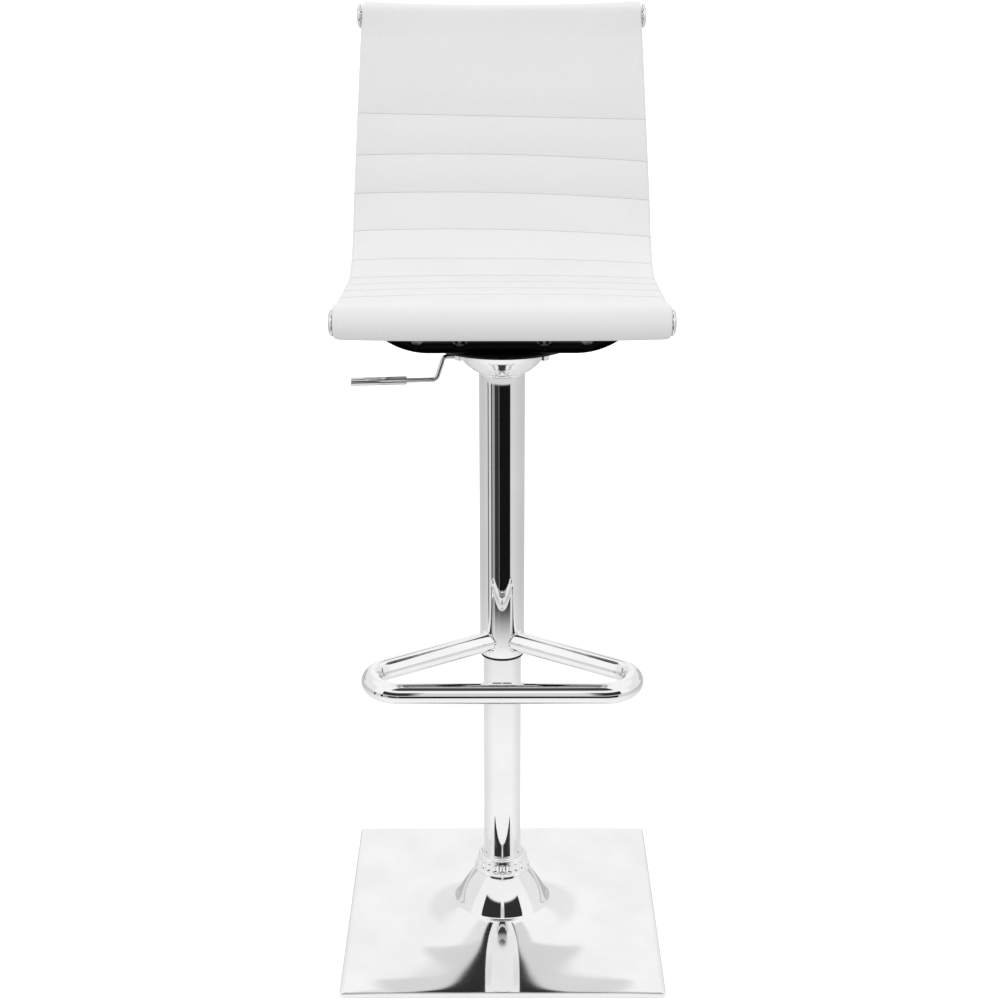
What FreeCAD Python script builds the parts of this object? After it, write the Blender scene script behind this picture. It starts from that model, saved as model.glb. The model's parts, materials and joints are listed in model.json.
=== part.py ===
"""Adjustable swivel bar stool: square weighted base, telescopic column with gas lift,
triangular footrest and an L-shaped channelled pad slung between two bent side rails.

Millimetres, +Z up. The origin is on the floor on the column axis. The front of the
stool faces -Y and the lift lever is on the -X side. The stool stands at full height.
"""
import FreeCAD, Part
import math
import os

from FreeCAD import Rotation, Vector

# ---- driving dimensions --------------------------------------------------------------
BASE_SIDE = 406.0            # square base, edge to edge
BASE_CORNER_R = 5.0
BASE_EDGE_TOP = 7.5          # top of the base's outer edge
BASE_RISE_TOP = 9.6          # where the sloping faces meet the dome
SHEET = 1.5                  # wall of the stamped base cover
PAD_T = 2.0                  # floor pad
DOME_TOP_Z = 67.0
DOME_FOOT_R = 76.0           # the swept foot of the dome ends here
COLLAR_TOP_Z = 91.0
LOWER_R = 24.1               # lower tube, outside
OUTER_R = 28.0               # outer tube, outside
WALL = 1.5                   # wall of both tubes
LOWER_TOP_Z = 470.0
OUTER_BOTTOM_Z = 381.0
OUTER_TOP_Z = 749.0
FLANGE_R = 50.0
FLANGE_LOW_Z = 7.0
FLANGE_TOP_Z = 12.0          # the lower tube stands on it
FLANGE_BOLT_RING_R = 40.0
COLLAR_BORE_R = 27.0
GUIDE_BUSH_LOW_Z = 400.0
END_BUSH_HEIGHT = 22.0
END_BUSH_LIP = 3.0
RACE_R = 12.0                # thrust bearing
BALL_RING_R = 8.3
BALL_R = 1.95
BALL_Z = 16.0
ROD_R = 5.0
ROD_SPIGOT_R = 4.0           # turned-down end of the rod, through the bearing
ROD_SHOULDER_Z = 20.1
ROD_GROOVE_R = 3.2
CLIP_Z = (4.6, 6.2)          # groove and clip at the foot of the rod
PISTON_LOW_Z = 272.0
PISTON_TOP_Z = 284.0
TAPER_LOW_Z = 700.0          # where the cylinder's taper begins
TAPER_TOP_R = 13.2
VALVE_PIN_R = 3.0
VALVE_PIN_Z = (742.0, 760.0)
SOCKET_R = 19.0
SOCKET_LOW_Z = 704.0
CYLINDER_R = 14.0
CYLINDER_BOTTOM_Z = 258.0
CYLINDER_TOP_Z = 752.0
RUNNING = 0.06               # radial clearance of a running fit
FOOTREST_Z = 401.0
FOOTREST_TUBE_R = 13.0
FOOTREST_REACH = 168.0       # front bar axis, forward of the column axis
FOOTREST_HALF = 157.0        # bend axis at its widest
FOOTREST_BEND_R = 37.0
PAN_R = 94.0
PAN_BOTTOM_Z = 788.5
PAN_TOP_Z = 794.5
PAN_SHEET = 3.2
BELL_OUTLINE = [             # radius, height above the outer tube
    (28.0, 0), (28.6, 2), (36.0, 5), (45.5, 13), (53.0, 24), (56.5, 34), (58.0, 42.3),
]
BELL_SHEET = 1.6
BOW_Y = 68.0                 # spreader centres, in front of and behind the column
BOW_DEPTH = 34.0
BOW_T = 12.0
BOW_FLAT = 85.0              # half-length of a spreader's level middle
BOW_ARC_R = 89.0             # underside radius of its rising arms
BOW_ARC_DEG = 50.0
BOLT_R = 4.0                 # shank of every bolt
BOLT_HOLE_R = 4.3
BOLT_X = 49.0                # pan bolts, each side of the middle
BOLT_Y = 64.0
NUT_Z = 803.0                # floor of the nut recesses in the spreaders
RAIL_BOLT_Z = 825.0          # spot face under the spreader ends
FRONT_ROD = (-200.0, 861.0)  # Y, Z of the front cross rod
TOP_ROD = (218.0, 1146.0)    # Y, Z of the top cross rod
CROSS_R = 9.5
SEAT_START = (-200.0, 881.0)  # Y, Z where the pad's upper face begins
SEAT_SLOPE_DEG = 4.5
SEAT_LENGTH = 215.0
SEAT_BEND_R = 115.0
RECLINE_DEG = 20.0
BACK_LENGTH = 222.0
PAD_THICK = 18.0
FRONT_ROLL_R = 20.0
TOP_ROLL_R = 16.5
SEAT_HALF = 184.0
TOP_HALF = 172.5             # half-width of the pad at PAD_TAPER_TOP
PAD_TAPER_LOW = 920.0
PAD_TAPER_TOP = 1180.0
TOP_ROD_HALF = 174.8
RAIL_X = 150.0
RAIL_W = 10.0
RAIL_H = 16.0
RAIL_GAP = 2.0               # pad underside to rail
CAP_R = 15.0
CAP_T = 5.0
LEVER_Z = 768.0
LEVER_PIVOT_X = -26.0
LEVER_R = 3.0
LEVER_HUB_R = 5.0
LEVER_HUB_WIDTH = 11.0
LEVER_BEND_R = 7.0
LEVER_KNEE_X = -70.0         # the handle turns down here
LEVER_ELBOW = (-79.5, 738.9)  # X, Z where it turns out again
LEVER_END = (-150.0, 737.2)
LEVER_PIN_R = 2.0
GRIP_R = 5.3
GRIP_START_X = -115.0
GRIP_LENGTH = 68.0

X_AXIS = Vector(1, 0, 0)
Y_AXIS = Vector(0, 1, 0)
Z_AXIS = Vector(0, 0, 1)
parts = {}


# ---- helpers --------------------------------------------------------------------------
def disc(radius, low, high, x=0.0, y=0.0):
    """Upright cylinder between two heights."""
    return Part.makeCylinder(radius, high - low, Vector(x, y, low))


def ring(outer, inner, low, high):
    """Upright tube between two heights."""
    return disc(outer, low, high).cut(disc(inner, low - 1, high + 1))


def rod_between(start, end, radius):
    """Straight round bar from one point to another."""
    way = end - start
    return Part.makeCylinder(radius, way.Length, start, way)


def turned(points):
    """Solid of revolution about Z from a closed outline of (radius, height) points."""
    corners = [Vector(r, 0, z) for r, z in points]
    face = Part.Face(Part.makePolygon(corners + corners[:1]))
    return face.revolve(Vector(), Z_AXIS, 360)


def hexagon(across_flats, low, high, x, y):
    """Upright hexagonal prism."""
    radius = across_flats / math.sqrt(3)
    angles = [math.radians(60 * i) for i in range(7)]
    corners = [Vector(x + radius * math.cos(a), y + radius * math.sin(a), low) for a in angles]
    return Part.Face(Part.makePolygon(corners)).extrude(Vector(0, 0, high - low))


def square_plate(side, corner_r, low, high):
    """Square plate with rounded upright corners, centred on the column axis."""
    plate = Part.makeBox(side, side, high - low, Vector(-side / 2, -side / 2, low))
    upright = [e for e in plate.Edges if abs(e.tangentAt(e.FirstParameter).z) > 0.99]
    return plate.makeFillet(corner_r, upright)


def frustum(side_low, low, side_high, high):
    """Low square pyramid with its point cut off."""
    outlines = []
    for side, z in ((side_low, low), (side_high, high)):
        h = side / 2
        corners = [Vector(-h, -h, z), Vector(h, -h, z), Vector(h, h, z), Vector(-h, h, z)]
        outlines.append(Part.makePolygon(corners + corners[:1]))
    return Part.makeLoft(outlines, True, True)


def group(solids):
    """Several separate solids in one node."""
    return Part.makeCompound(solids)


def both_sides(make):
    """The same piece on the -X and the +X side."""
    return group([make(-1), make(1)])


# ---- base -----------------------------------------------------------------------------
def dome(inset):
    """Bell of the base: a slightly bulging cone with a swept foot."""
    top = Vector(33 - inset, 0, DOME_TOP_Z - inset)
    waist = Vector(50.5 - inset, 0, 41.5 - inset / 2)
    foot = Vector(62 - inset, 0, 17.5 - inset)
    fillet = Vector(66.9 - inset, 0, 12.3 - inset)
    skirt = Vector(DOME_FOOT_R - inset, 0, BASE_RISE_TOP - inset)
    low = BASE_EDGE_TOP - 2.5 - inset
    edges = [
        Part.LineSegment(Vector(0, 0, low), Vector(0, 0, top.z)).toShape(),
        Part.LineSegment(Vector(0, 0, top.z), top).toShape(),
        Part.Arc(top, waist, foot).toShape(),
        Part.Arc(foot, fillet, skirt).toShape(),
        Part.LineSegment(skirt, Vector(skirt.x, 0, low)).toShape(),
        Part.LineSegment(Vector(skirt.x, 0, low), Vector(0, 0, low)).toShape(),
    ]
    return Part.Face(Part.Wire(edges)).revolve(Vector(), Z_AXIS, 360)


def base_cover():
    """Stamped square sheet with a central bell, open underneath."""
    outside = square_plate(BASE_SIDE, BASE_CORNER_R, 1.0, BASE_EDGE_TOP)
    rim = [e for e in outside.Edges if e.BoundBox.ZMin > BASE_EDGE_TOP - 0.01]
    outside = outside.makeFillet(2.0, rim)
    outside = outside.fuse(frustum(BASE_SIDE - 8, BASE_EDGE_TOP - 0.5, 2 * DOME_FOOT_R, BASE_RISE_TOP))
    outside = outside.fuse(dome(0.0))
    inside = square_plate(BASE_SIDE - 2 * SHEET, BASE_CORNER_R - SHEET, 0.0, BASE_EDGE_TOP - SHEET)
    inside = inside.fuse(frustum(BASE_SIDE - 11, 5.0, 2 * DOME_FOOT_R, BASE_RISE_TOP - SHEET))
    inside = inside.fuse(dome(SHEET))
    return outside.cut(inside).cut(disc(LOWER_R + 0.1, 30, 80))


def ballast():
    """Steel plate that weights the base, threaded for the column flange."""
    plate = square_plate(BASE_SIDE - 14, 6.0, PAD_T, 5.4)
    plate = plate.fuse(frustum(BASE_SIDE - 20, 5.0, 130, 7.4))
    plate = plate.cut(disc(100, 7.0, 9.0)).cut(disc(12, 0, 9))
    return plate.cut(flange_bolt_shanks())


def around(radius, count):
    """Evenly spaced places on a circle, starting half a step off the X axis."""
    steps = [math.radians(360 / count * (i + 0.5)) for i in range(count)]
    return [(radius * math.cos(a), radius * math.sin(a)) for a in steps]


def flange_bolt_shanks():
    return group([disc(BOLT_R, PAD_T + 1, FLANGE_TOP_Z, x, y) for x, y in around(FLANGE_BOLT_RING_R, 4)])


def flange_bolts():
    """Four hexagon bolts that hold the column flange down on the ballast."""
    bolts = []
    for x, y in around(FLANGE_BOLT_RING_R, 4):
        shank = disc(BOLT_R, PAD_T + 1, FLANGE_TOP_Z, x, y)
        bolts.append(shank.fuse(hexagon(13, FLANGE_TOP_Z, FLANGE_TOP_Z + 5.3, x, y)))
    return group(bolts)


def collar():
    """Chrome ring that hides the joint of tube and bell, with a belt of oval dimples."""
    body = turned([
        (COLLAR_BORE_R, DOME_TOP_Z), (35.2, DOME_TOP_Z), (36.0, 68.0), (36.0, 70.0), (35.2, 71.0),
        (30.9, 88.5), (30.0, 90.6), (28.6, COLLAR_TOP_Z), (COLLAR_BORE_R, COLLAR_TOP_Z),
    ])
    count = 24
    tool_r = 4.5
    lean = Vector(-4.3, 0, 17.5).normalize()
    dimples = []
    for i in range(count):
        middle = Vector(33.1 + tool_r - 1.0, 0, 79.6)
        ends = [middle - lean * 2.7, middle + lean * 2.7]
        tool = rod_between(ends[0], ends[1], tool_r)
        tool = tool.fuse([Part.makeSphere(tool_r, e) for e in ends])
        tool.rotate(Vector(), Z_AXIS, 360 / count * i)
        dimples.append(tool)
    return body.cut(dimples)


def column_base():
    """Flange, tube, guide bush and the collar round the tube's foot."""
    flange = disc(FLANGE_R, FLANGE_LOW_Z, FLANGE_TOP_Z).cut(disc(BOLT_HOLE_R, 0, 20))
    flange = flange.cut(flange_bolt_shanks())
    tube = ring(LOWER_R, LOWER_R - WALL, FLANGE_TOP_Z, LOWER_TOP_Z)
    bush_bore = CYLINDER_R + RUNNING
    bush = ring(LOWER_R - WALL, bush_bore, GUIDE_BUSH_LOW_Z, LOWER_TOP_Z)
    bush = bush.fuse(ring(LOWER_R, bush_bore, LOWER_TOP_Z, LOWER_TOP_Z + 3))
    seal = turned([
        (LOWER_R, 86.0), (COLLAR_BORE_R, 86.0), (COLLAR_BORE_R, 90.0),
        (26.2, 91.6), (25.0, 91.6), (LOWER_R, 90.0),
    ])
    parts["column_flange"] = flange
    parts["lower_tube"] = tube
    parts["guide_bush"] = bush
    parts["collar_seal"] = seal
    parts["base_collar"] = collar()


def thrust_bearing():
    """Ball thrust bearing under the piston rod: the stool swivels on it."""
    parts["bearing_lower_race"] = ring(RACE_R, 5.2, FLANGE_TOP_Z, BALL_Z - 2)
    cage = ring(RACE_R - 1, 5.6, BALL_Z - 0.8, BALL_Z + 0.8)
    middles = [Vector(x, y, BALL_Z) for x, y in around(BALL_RING_R, 8)]
    parts["bearing_cage"] = cage.cut([Part.makeSphere(BALL_R + 0.15, m) for m in middles])
    parts["bearing_balls"] = group([Part.makeSphere(BALL_R, m) for m in middles])


# ---- piston rod: turns on the bearing --------------------------------------------------
def piston_rod():
    rod = disc(ROD_R, ROD_SHOULDER_Z, PISTON_LOW_Z + 4)
    rod = rod.fuse(disc(ROD_SPIGOT_R, CLIP_Z[0] - 1, ROD_SHOULDER_Z))
    rod = rod.fuse(disc(CYLINDER_R - WALL - RUNNING, PISTON_LOW_Z, PISTON_TOP_Z))
    return rod.cut(ring(ROD_R + 1, ROD_GROOVE_R, *CLIP_Z))


def rod_pieces():
    parts["piston_rod"] = piston_rod()
    clip = ring(8.0, ROD_GROOVE_R, *CLIP_Z)
    parts["rod_clip"] = clip.cut(Part.makeBox(9, 4, 4, Vector(0, -2, 3)))
    parts["bearing_upper_race"] = ring(RACE_R, ROD_SPIGOT_R, ROD_SHOULDER_Z - 2, ROD_SHOULDER_Z)
    parts["rubber_buffer"] = ring(11, ROD_R, ROD_SHOULDER_Z, ROD_SHOULDER_Z + 10.9)


# ---- telescopic column that rises with the seat ----------------------------------------
def gas_cylinder():
    """Gas spring body: gland at the bottom, tapered head with a bore for the valve pin."""
    wall_r = CYLINDER_R - WALL
    body = ring(CYLINDER_R, wall_r, CYLINDER_BOTTOM_Z, TAPER_LOW_Z)
    gland = ring(wall_r, ROD_R + RUNNING, CYLINDER_BOTTOM_Z, CYLINDER_BOTTOM_Z + 12)
    head = taper_plug().cut(disc(11.0, TAPER_LOW_Z - 1, VALVE_PIN_Z[0] - 2))
    head = head.cut(disc(VALVE_PIN_R + RUNNING, TAPER_LOW_Z, CYLINDER_TOP_Z + 1))
    return body.fuse(gland).fuse(head)


def taper_plug():
    """The tapered head, solid: cylinder and socket share it."""
    height = CYLINDER_TOP_Z - TAPER_LOW_Z
    return Part.makeCone(CYLINDER_R, TAPER_TOP_R, height, Vector(0, 0, TAPER_LOW_Z))


def outer_tube():
    return ring(OUTER_R, OUTER_R - WALL, OUTER_BOTTOM_Z, OUTER_TOP_Z)


def tube_end_bush():
    """Black plastic sleeve between the two tubes, with a thin lip below the outer one."""
    bore = LOWER_R + RUNNING
    sleeve = ring(OUTER_R - WALL, bore, OUTER_BOTTOM_Z, OUTER_BOTTOM_Z + END_BUSH_HEIGHT)
    lip = ring(OUTER_R - 0.4, bore, OUTER_BOTTOM_Z - END_BUSH_LIP, OUTER_BOTTOM_Z)
    return sleeve.fuse(lip)


def footrest():
    """Round tube bent into a rounded triangle, both ends coped to the outer tube."""
    r = FOOTREST_BEND_R
    middle = Vector(-FOOTREST_HALF + r, -FOOTREST_REACH + r, FOOTREST_Z)
    start = Vector(-16, -16, FOOTREST_Z)
    reach = start - middle
    lean = math.atan2(reach.y, reach.x) + math.acos(r / reach.Length)
    touch = middle + Vector(math.cos(lean), math.sin(lean), 0) * r
    half_way = (lean + 1.5 * math.pi) / 2
    bend = middle + Vector(math.cos(half_way), math.sin(half_way), 0) * r
    corner = middle - Vector(0, r, 0)

    def across(p):
        return Vector(-p.x, p.y, p.z)

    edges = [
        Part.LineSegment(start, touch).toShape(),
        Part.Arc(touch, bend, corner).toShape(),
        Part.LineSegment(corner, across(corner)).toShape(),
        Part.Arc(across(corner), across(bend), across(touch)).toShape(),
        Part.LineSegment(across(touch), across(start)).toShape(),
    ]
    path = Part.Wire(edges)

    def loop(radius):
        section = Part.Wire(Part.Circle(start, touch - start, radius).toShape())
        return path.makePipeShell([section], True, False)

    tube = loop(FOOTREST_TUBE_R).cut(loop(FOOTREST_TUBE_R - WALL))
    return tube.cut(disc(OUTER_R, OUTER_BOTTOM_Z - 20, OUTER_TOP_Z))


def bell_cover():
    """Flared cover from the outer tube up to the seat pan, slotted for the lever."""
    outline = [(r, OUTER_TOP_Z + z) for r, z in BELL_OUTLINE]
    inner = [(r - BELL_SHEET, z + 0.9) for r, z in outline]
    inner[0] = (outline[0][0] - BELL_SHEET, outline[0][1])
    inner[-1] = (outline[-1][0] - BELL_SHEET, outline[-1][1])
    body = turned(outline + inner[::-1])
    slot = Part.makeBox(40, 9, 13.5, Vector(-75, -4.5, LEVER_Z - 5.5))
    return body.cut(slot)


# ---- seat carrier ----------------------------------------------------------------------
def seat_pan():
    """Round pressed pan with a turned-down rim, under the two spreaders."""
    plate_low = PAN_TOP_Z - PAN_SHEET
    pan = turned([
        (0, plate_low), (PAN_R - 5, plate_low), (PAN_R - 5, PAN_BOTTOM_Z),
        (PAN_R - 3, PAN_BOTTOM_Z), (PAN_R - 1, PAN_BOTTOM_Z + 1.1), (PAN_R, PAN_BOTTOM_Z + 3.5),
        (PAN_R, PAN_TOP_Z - 2), (PAN_R - 1.4, PAN_TOP_Z), (0, PAN_TOP_Z),
    ])
    return pan.cut(pan_bolt_shanks(BOLT_HOLE_R))


def taper_socket():
    """Steel socket welded under the pan; the gas spring's taper seats in it."""
    socket = ring(SOCKET_R, 11, SOCKET_LOW_Z, PAN_TOP_Z - PAN_SHEET)
    socket = socket.cut(taper_plug()).cut(disc(TAPER_TOP_R, CYLINDER_TOP_Z, 780))
    return socket.cut(Part.makeBox(30, 11, 17, Vector(-30, -5.5, LEVER_Z - 8)))


def lever_bracket():
    """Two welded ears on the socket that carry the lever's pivot pin."""
    ear_low = LEVER_Z - 6.7
    link_low = PAN_TOP_Z - PAN_SHEET - 6
    outer_x = LEVER_PIVOT_X - 8
    around_socket = disc(SOCKET_R, SOCKET_LOW_Z, PAN_TOP_Z)
    ears = []
    for y in (-9.0, 6.0):
        ear = Part.makeBox(18, 3, 24, Vector(outer_x, y, ear_low))
        ears.append(ear.cut(around_socket))
    hole = Part.makeCylinder(2.5, 20, Vector(LEVER_PIVOT_X, -10, LEVER_Z), Y_AXIS)
    link = Part.makeBox(18, 18, 6, Vector(outer_x, -9, link_low))
    return link.cut(around_socket).fuse(ears).cut(hole)


def pan_bolt_places():
    return [(x, y) for x in (-BOLT_X, BOLT_X) for y in (-BOLT_Y, BOLT_Y)]


def pan_bolt_shanks(radius):
    return group([disc(radius, 780, 812, x, y) for x, y in pan_bolt_places()])


def pan_bolts():
    """Four chromed bolts through pan and spreaders: head below, nut in the top scallop."""
    bolts = []
    for x, y in pan_bolt_places():
        low = PAN_TOP_Z - PAN_SHEET
        bolt = disc(BOLT_R, low, NUT_Z + 6, x, y).fuse(hexagon(12, low - 9.5, low, x, y))
        bolts.append(bolt)
    return group(bolts)


def pan_nuts():
    nuts = []
    for x, y in pan_bolt_places():
        nut = hexagon(11, NUT_Z, NUT_Z + 4.5, x, y)
        nuts.append(nut.cut(disc(BOLT_R, NUT_Z - 1, NUT_Z + 10, x, y)))
    return group(nuts)


def spreader(side):
    """Arched bar across the stool, level in the middle and rising to both side rails."""
    low = PAN_TOP_Z
    centre_z = low + BOW_ARC_R
    inner_r = BOW_ARC_R - BOW_T
    y = side * BOW_Y - BOW_DEPTH / 2

    def on_arc(radius, degrees, hand):
        a = math.radians(degrees)
        return Vector(hand * (BOW_FLAT + radius * math.sin(a)), y, centre_z - radius * math.cos(a))

    def arc(radius, hand):
        stops = [on_arc(radius, d, hand) for d in (0, BOW_ARC_DEG / 2, BOW_ARC_DEG)]
        return Part.Arc(*stops).toShape()

    def straight(a, b):
        return Part.LineSegment(a, b).toShape()

    edges = [
        straight(on_arc(BOW_ARC_R, 0, -1), on_arc(BOW_ARC_R, 0, 1)),
        arc(BOW_ARC_R, 1),
        straight(on_arc(BOW_ARC_R, BOW_ARC_DEG, 1), on_arc(inner_r, BOW_ARC_DEG, 1)),
        arc(inner_r, 1),
        straight(on_arc(inner_r, 0, 1), on_arc(inner_r, 0, -1)),
        arc(inner_r, -1),
        straight(on_arc(inner_r, BOW_ARC_DEG, -1), on_arc(BOW_ARC_R, BOW_ARC_DEG, -1)),
        arc(BOW_ARC_R, -1),
    ]
    wire = Part.Wire(Part.__sortEdges__(edges))
    bar = Part.Face(wire).extrude(Vector(0, BOW_DEPTH, 0))
    for hand in (-1, 1):
        bar = bar.fuse(disc(10.5, RAIL_BOLT_Z, 845, hand * RAIL_X, side * BOW_Y))
        for x, r, z in ((BOLT_X, 9.0, 811.5), (98.0, 8.0, 812.1)):
            scallop = Part.makeCylinder(r, BOW_DEPTH + 4, Vector(hand * x, y - 2, z), Y_AXIS)
            bar = bar.cut(scallop)
    bar = bar.cut(pan_bolt_shanks(BOLT_HOLE_R)).cut(rail_bolt_shanks(BOLT_HOLE_R))
    bar = bar.cut([disc(7.0, NUT_Z, 820, x, y) for x, y in pan_bolt_places()])
    bar = bar.cut([disc(7.5, 800, RAIL_BOLT_Z, x, y) for x, y in rail_bolt_places()])
    return bar.cut(rail_blank(-1, 0.0)).cut(rail_blank(1, 0.0))


def rail_bolt_places():
    return [(x, y) for x in (-RAIL_X, RAIL_X) for y in (-BOW_Y, BOW_Y)]


def rail_bolt_shanks(radius):
    return group([disc(radius, 815, 844, x, y) for x, y in rail_bolt_places()])


def rail_bolts():
    """Four socket-head bolts from below, through the spreader ends into the rails."""
    bolts = []
    for x, y in rail_bolt_places():
        low = RAIL_BOLT_Z - 8
        head = disc(6.5, low, RAIL_BOLT_Z, x, y).cut(hexagon(5, low - 2, low + 4, x, y))
        bolts.append(disc(BOLT_R, RAIL_BOLT_Z, RAIL_BOLT_Z + 18, x, y).fuse(head))
    return group(bolts)


# ---- L-shaped frame --------------------------------------------------------------------
def seat_line(offset):
    """Edges in the YZ plane: seat line, bend and back line, offset below and behind."""
    slope = math.radians(SEAT_SLOPE_DEG)
    rise = math.radians(90 - RECLINE_DEG)
    along = Vector(0, math.cos(slope), -math.sin(slope))
    up = Vector(0, math.sin(slope), math.cos(slope))
    start = Vector(0, *SEAT_START) - up * offset
    knee = start + along * SEAT_LENGTH
    centre = knee + up * (SEAT_BEND_R + offset)

    def on_bend(angle):
        down = Vector(0, math.sin(angle), -math.cos(angle))
        return centre + down * (SEAT_BEND_R + offset)

    hip = on_bend(rise)
    back_way = Vector(0, math.cos(rise), math.sin(rise))
    end = hip + back_way * BACK_LENGTH
    return [
        Part.LineSegment(start, knee).toShape(),
        Part.Arc(knee, on_bend((rise - slope) / 2), hip).toShape(),
        Part.LineSegment(hip, end).toShape(),
    ]


def slab(near, far, low_x, high_x):
    """L-shaped slab between two offsets of the seat line, across a stretch of X."""
    upper = seat_line(near)
    lower = seat_line(far)
    ends = [
        Part.LineSegment(upper[0].Vertexes[0].Point, lower[0].Vertexes[0].Point).toShape(),
        Part.LineSegment(upper[2].Vertexes[1].Point, lower[2].Vertexes[1].Point).toShape(),
    ]
    wire = Part.Wire(Part.__sortEdges__(upper + lower + ends))
    face = Part.Face(wire)
    face.translate(Vector(low_x, 0, 0))
    return face.extrude(Vector(high_x - low_x, 0, 0))


def rail_blank(hand, ease):
    """Bent flat bar under and behind the pad; ease widens it for a clearance cut."""
    near = PAD_THICK + RAIL_GAP - ease
    far = PAD_THICK + RAIL_GAP + RAIL_H + ease
    half = RAIL_W / 2 + ease
    return slab(near, far, hand * RAIL_X - half, hand * RAIL_X + half)


def cross_rod(place, half, radius):
    y, z = place
    return Part.makeCylinder(radius, 2 * half, Vector(-half, y, z), X_AXIS)


def side_rail(hand):
    """Side rail coped against both cross rods, with soft edges and threaded holes."""
    rail = rail_blank(hand, 0.0)
    rail = rail.makeFillet(2.5, [e for e in rail.Edges if e.BoundBox.XLength < 0.01 and e.Length > 60])
    rail = rail.cut(cross_rod(FRONT_ROD, 200, CROSS_R)).cut(cross_rod(TOP_ROD, 200, CROSS_R))
    return rail.cut(rail_bolt_shanks(BOLT_R))


def pad():
    """Soft pad: one slab wrapped round both cross rods, narrower towards the top."""
    solid = slab(0.0, PAD_THICK, -SEAT_HALF, SEAT_HALF)
    solid = solid.fuse(cross_rod(FRONT_ROD, SEAT_HALF, FRONT_ROLL_R))
    solid = solid.fuse(cross_rod(TOP_ROD, SEAT_HALF, TOP_ROLL_R))
    outline = [
        Vector(-SEAT_HALF, -300, 800), Vector(SEAT_HALF, -300, 800),
        Vector(SEAT_HALF, -300, PAD_TAPER_LOW), Vector(TOP_HALF, -300, PAD_TAPER_TOP),
        Vector(-TOP_HALF, -300, PAD_TAPER_TOP), Vector(-SEAT_HALF, -300, PAD_TAPER_LOW),
    ]
    taper = Part.Face(Part.makePolygon(outline + outline[:1])).extrude(Vector(0, 700, 0))
    solid = solid.common(taper)
    solid = solid.cut(cross_rod(FRONT_ROD, 200, CROSS_R)).cut(cross_rod(TOP_ROD, 200, CROSS_R))
    return solid.cut(rail_blank(-1, 0.6)).cut(rail_blank(1, 0.6))


def rod_ends():
    """Name, place and half-length of the two cross rods."""
    return (("front", FRONT_ROD, SEAT_HALF), ("top", TOP_ROD, TOP_ROD_HALF))


def cross_rods():
    """Chromed cross tubes, each with two pressed-in threaded plugs."""
    plugs = []
    for name, place, half in rod_ends():
        parts[name + "_cross_rod"] = cross_rod(place, half, CROSS_R).cut(cross_rod(place, half + 1, 7.5))
        for hand in (-1, 1):
            start = Vector(hand * half, *place)
            plug = Part.makeCylinder(7.5, 18, start, X_AXIS * -hand)
            plugs.append(plug.cut(Part.makeCylinder(3.0, 40, start + X_AXIS * 20 * hand, X_AXIS * -hand)))
    parts["rod_plugs"] = group(plugs)


def end_caps():
    """Domed chrome caps over the rod ends, each held by a countersunk socket screw."""
    outline = [(0, 0), (CAP_R - 0.6, 0), (CAP_R, 0.6), (CAP_R, 2.0), (CAP_R - 1.4, 3.4),
               (CAP_R - 5.5, 4.6), (5.0, CAP_T), (0, CAP_T)]
    screws = []
    for name, place, half in rod_ends():
        for word, hand in (("left", -1), ("right", 1)):
            start = Vector(hand * half, *place)
            turn = Rotation(Z_AXIS, X_AXIS * hand)
            cap = turned(outline).cut(disc(3.0, -1, 9)).cut(Part.makeCone(3.0, 5.0, 2.2, Vector(0, 0, 2.8)))
            screw = disc(3.0, -16, 2.8).fuse(Part.makeCone(3.0, 5.0, 2.2, Vector(0, 0, 2.8)))
            screw = screw.cut(hexagon(3.4, 2.6, 6, 0, 0))
            for piece in (cap, screw):
                piece.Placement = FreeCAD.Placement(start, turn)
            parts[f"{name}_cap_{word}"] = cap
            screws.append(screw)
    parts["cap_screws"] = group(screws)


# ---- lever and valve --------------------------------------------------------------------
def lever_route():
    """Corners of the wire lever's centre line, from the pivot to the end of the handle."""
    corners = [(LEVER_PIVOT_X, LEVER_Z), (LEVER_KNEE_X, LEVER_Z), LEVER_ELBOW, LEVER_END]
    return [Vector(x, 0, z) for x, z in corners]


def bend_at(before, corner, after):
    """Start, middle and end of the round bend that eases one corner of the lever."""
    back = (before - corner).normalize()
    ahead = (after - corner).normalize()
    turn = math.pi - back.getAngle(ahead)
    trim = LEVER_BEND_R * math.tan(turn / 2)
    inward = (back + ahead).normalize()
    middle = corner + inward * (LEVER_BEND_R / math.cos(turn / 2) - LEVER_BEND_R)
    return corner + back * trim, middle, corner + ahead * trim


def lever_rod():
    """Wire lever: hub on the pivot pin, a nose over the valve pin and a cranked handle."""
    pivot, knee, elbow, end = lever_route()
    low_bend = bend_at(pivot, knee, elbow)
    out_bend = bend_at(knee, elbow, end)
    line = Part.Wire([
        Part.LineSegment(pivot, low_bend[0]).toShape(),
        Part.Arc(*low_bend).toShape(),
        Part.LineSegment(low_bend[2], out_bend[0]).toShape(),
        Part.Arc(*out_bend).toShape(),
        Part.LineSegment(out_bend[2], end).toShape(),
    ])
    section = Part.Wire(Part.Circle(pivot, knee - pivot, LEVER_R).toShape())
    handle = line.makePipeShell([section], True, False)
    half_hub = Y_AXIS * (LEVER_HUB_WIDTH / 2)
    hub = rod_between(pivot - half_hub, pivot + half_hub, LEVER_HUB_R)
    nose = rod_between(pivot, Vector(2, 0, LEVER_Z), LEVER_R)
    tip = disc(LEVER_R, VALVE_PIN_Z[1] + 0.4, LEVER_Z)
    bore = rod_between(pivot - half_hub * 2, pivot + half_hub * 2, LEVER_PIN_R + RUNNING)
    return hub.fuse([nose, tip, handle]).cut(bore)


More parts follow.
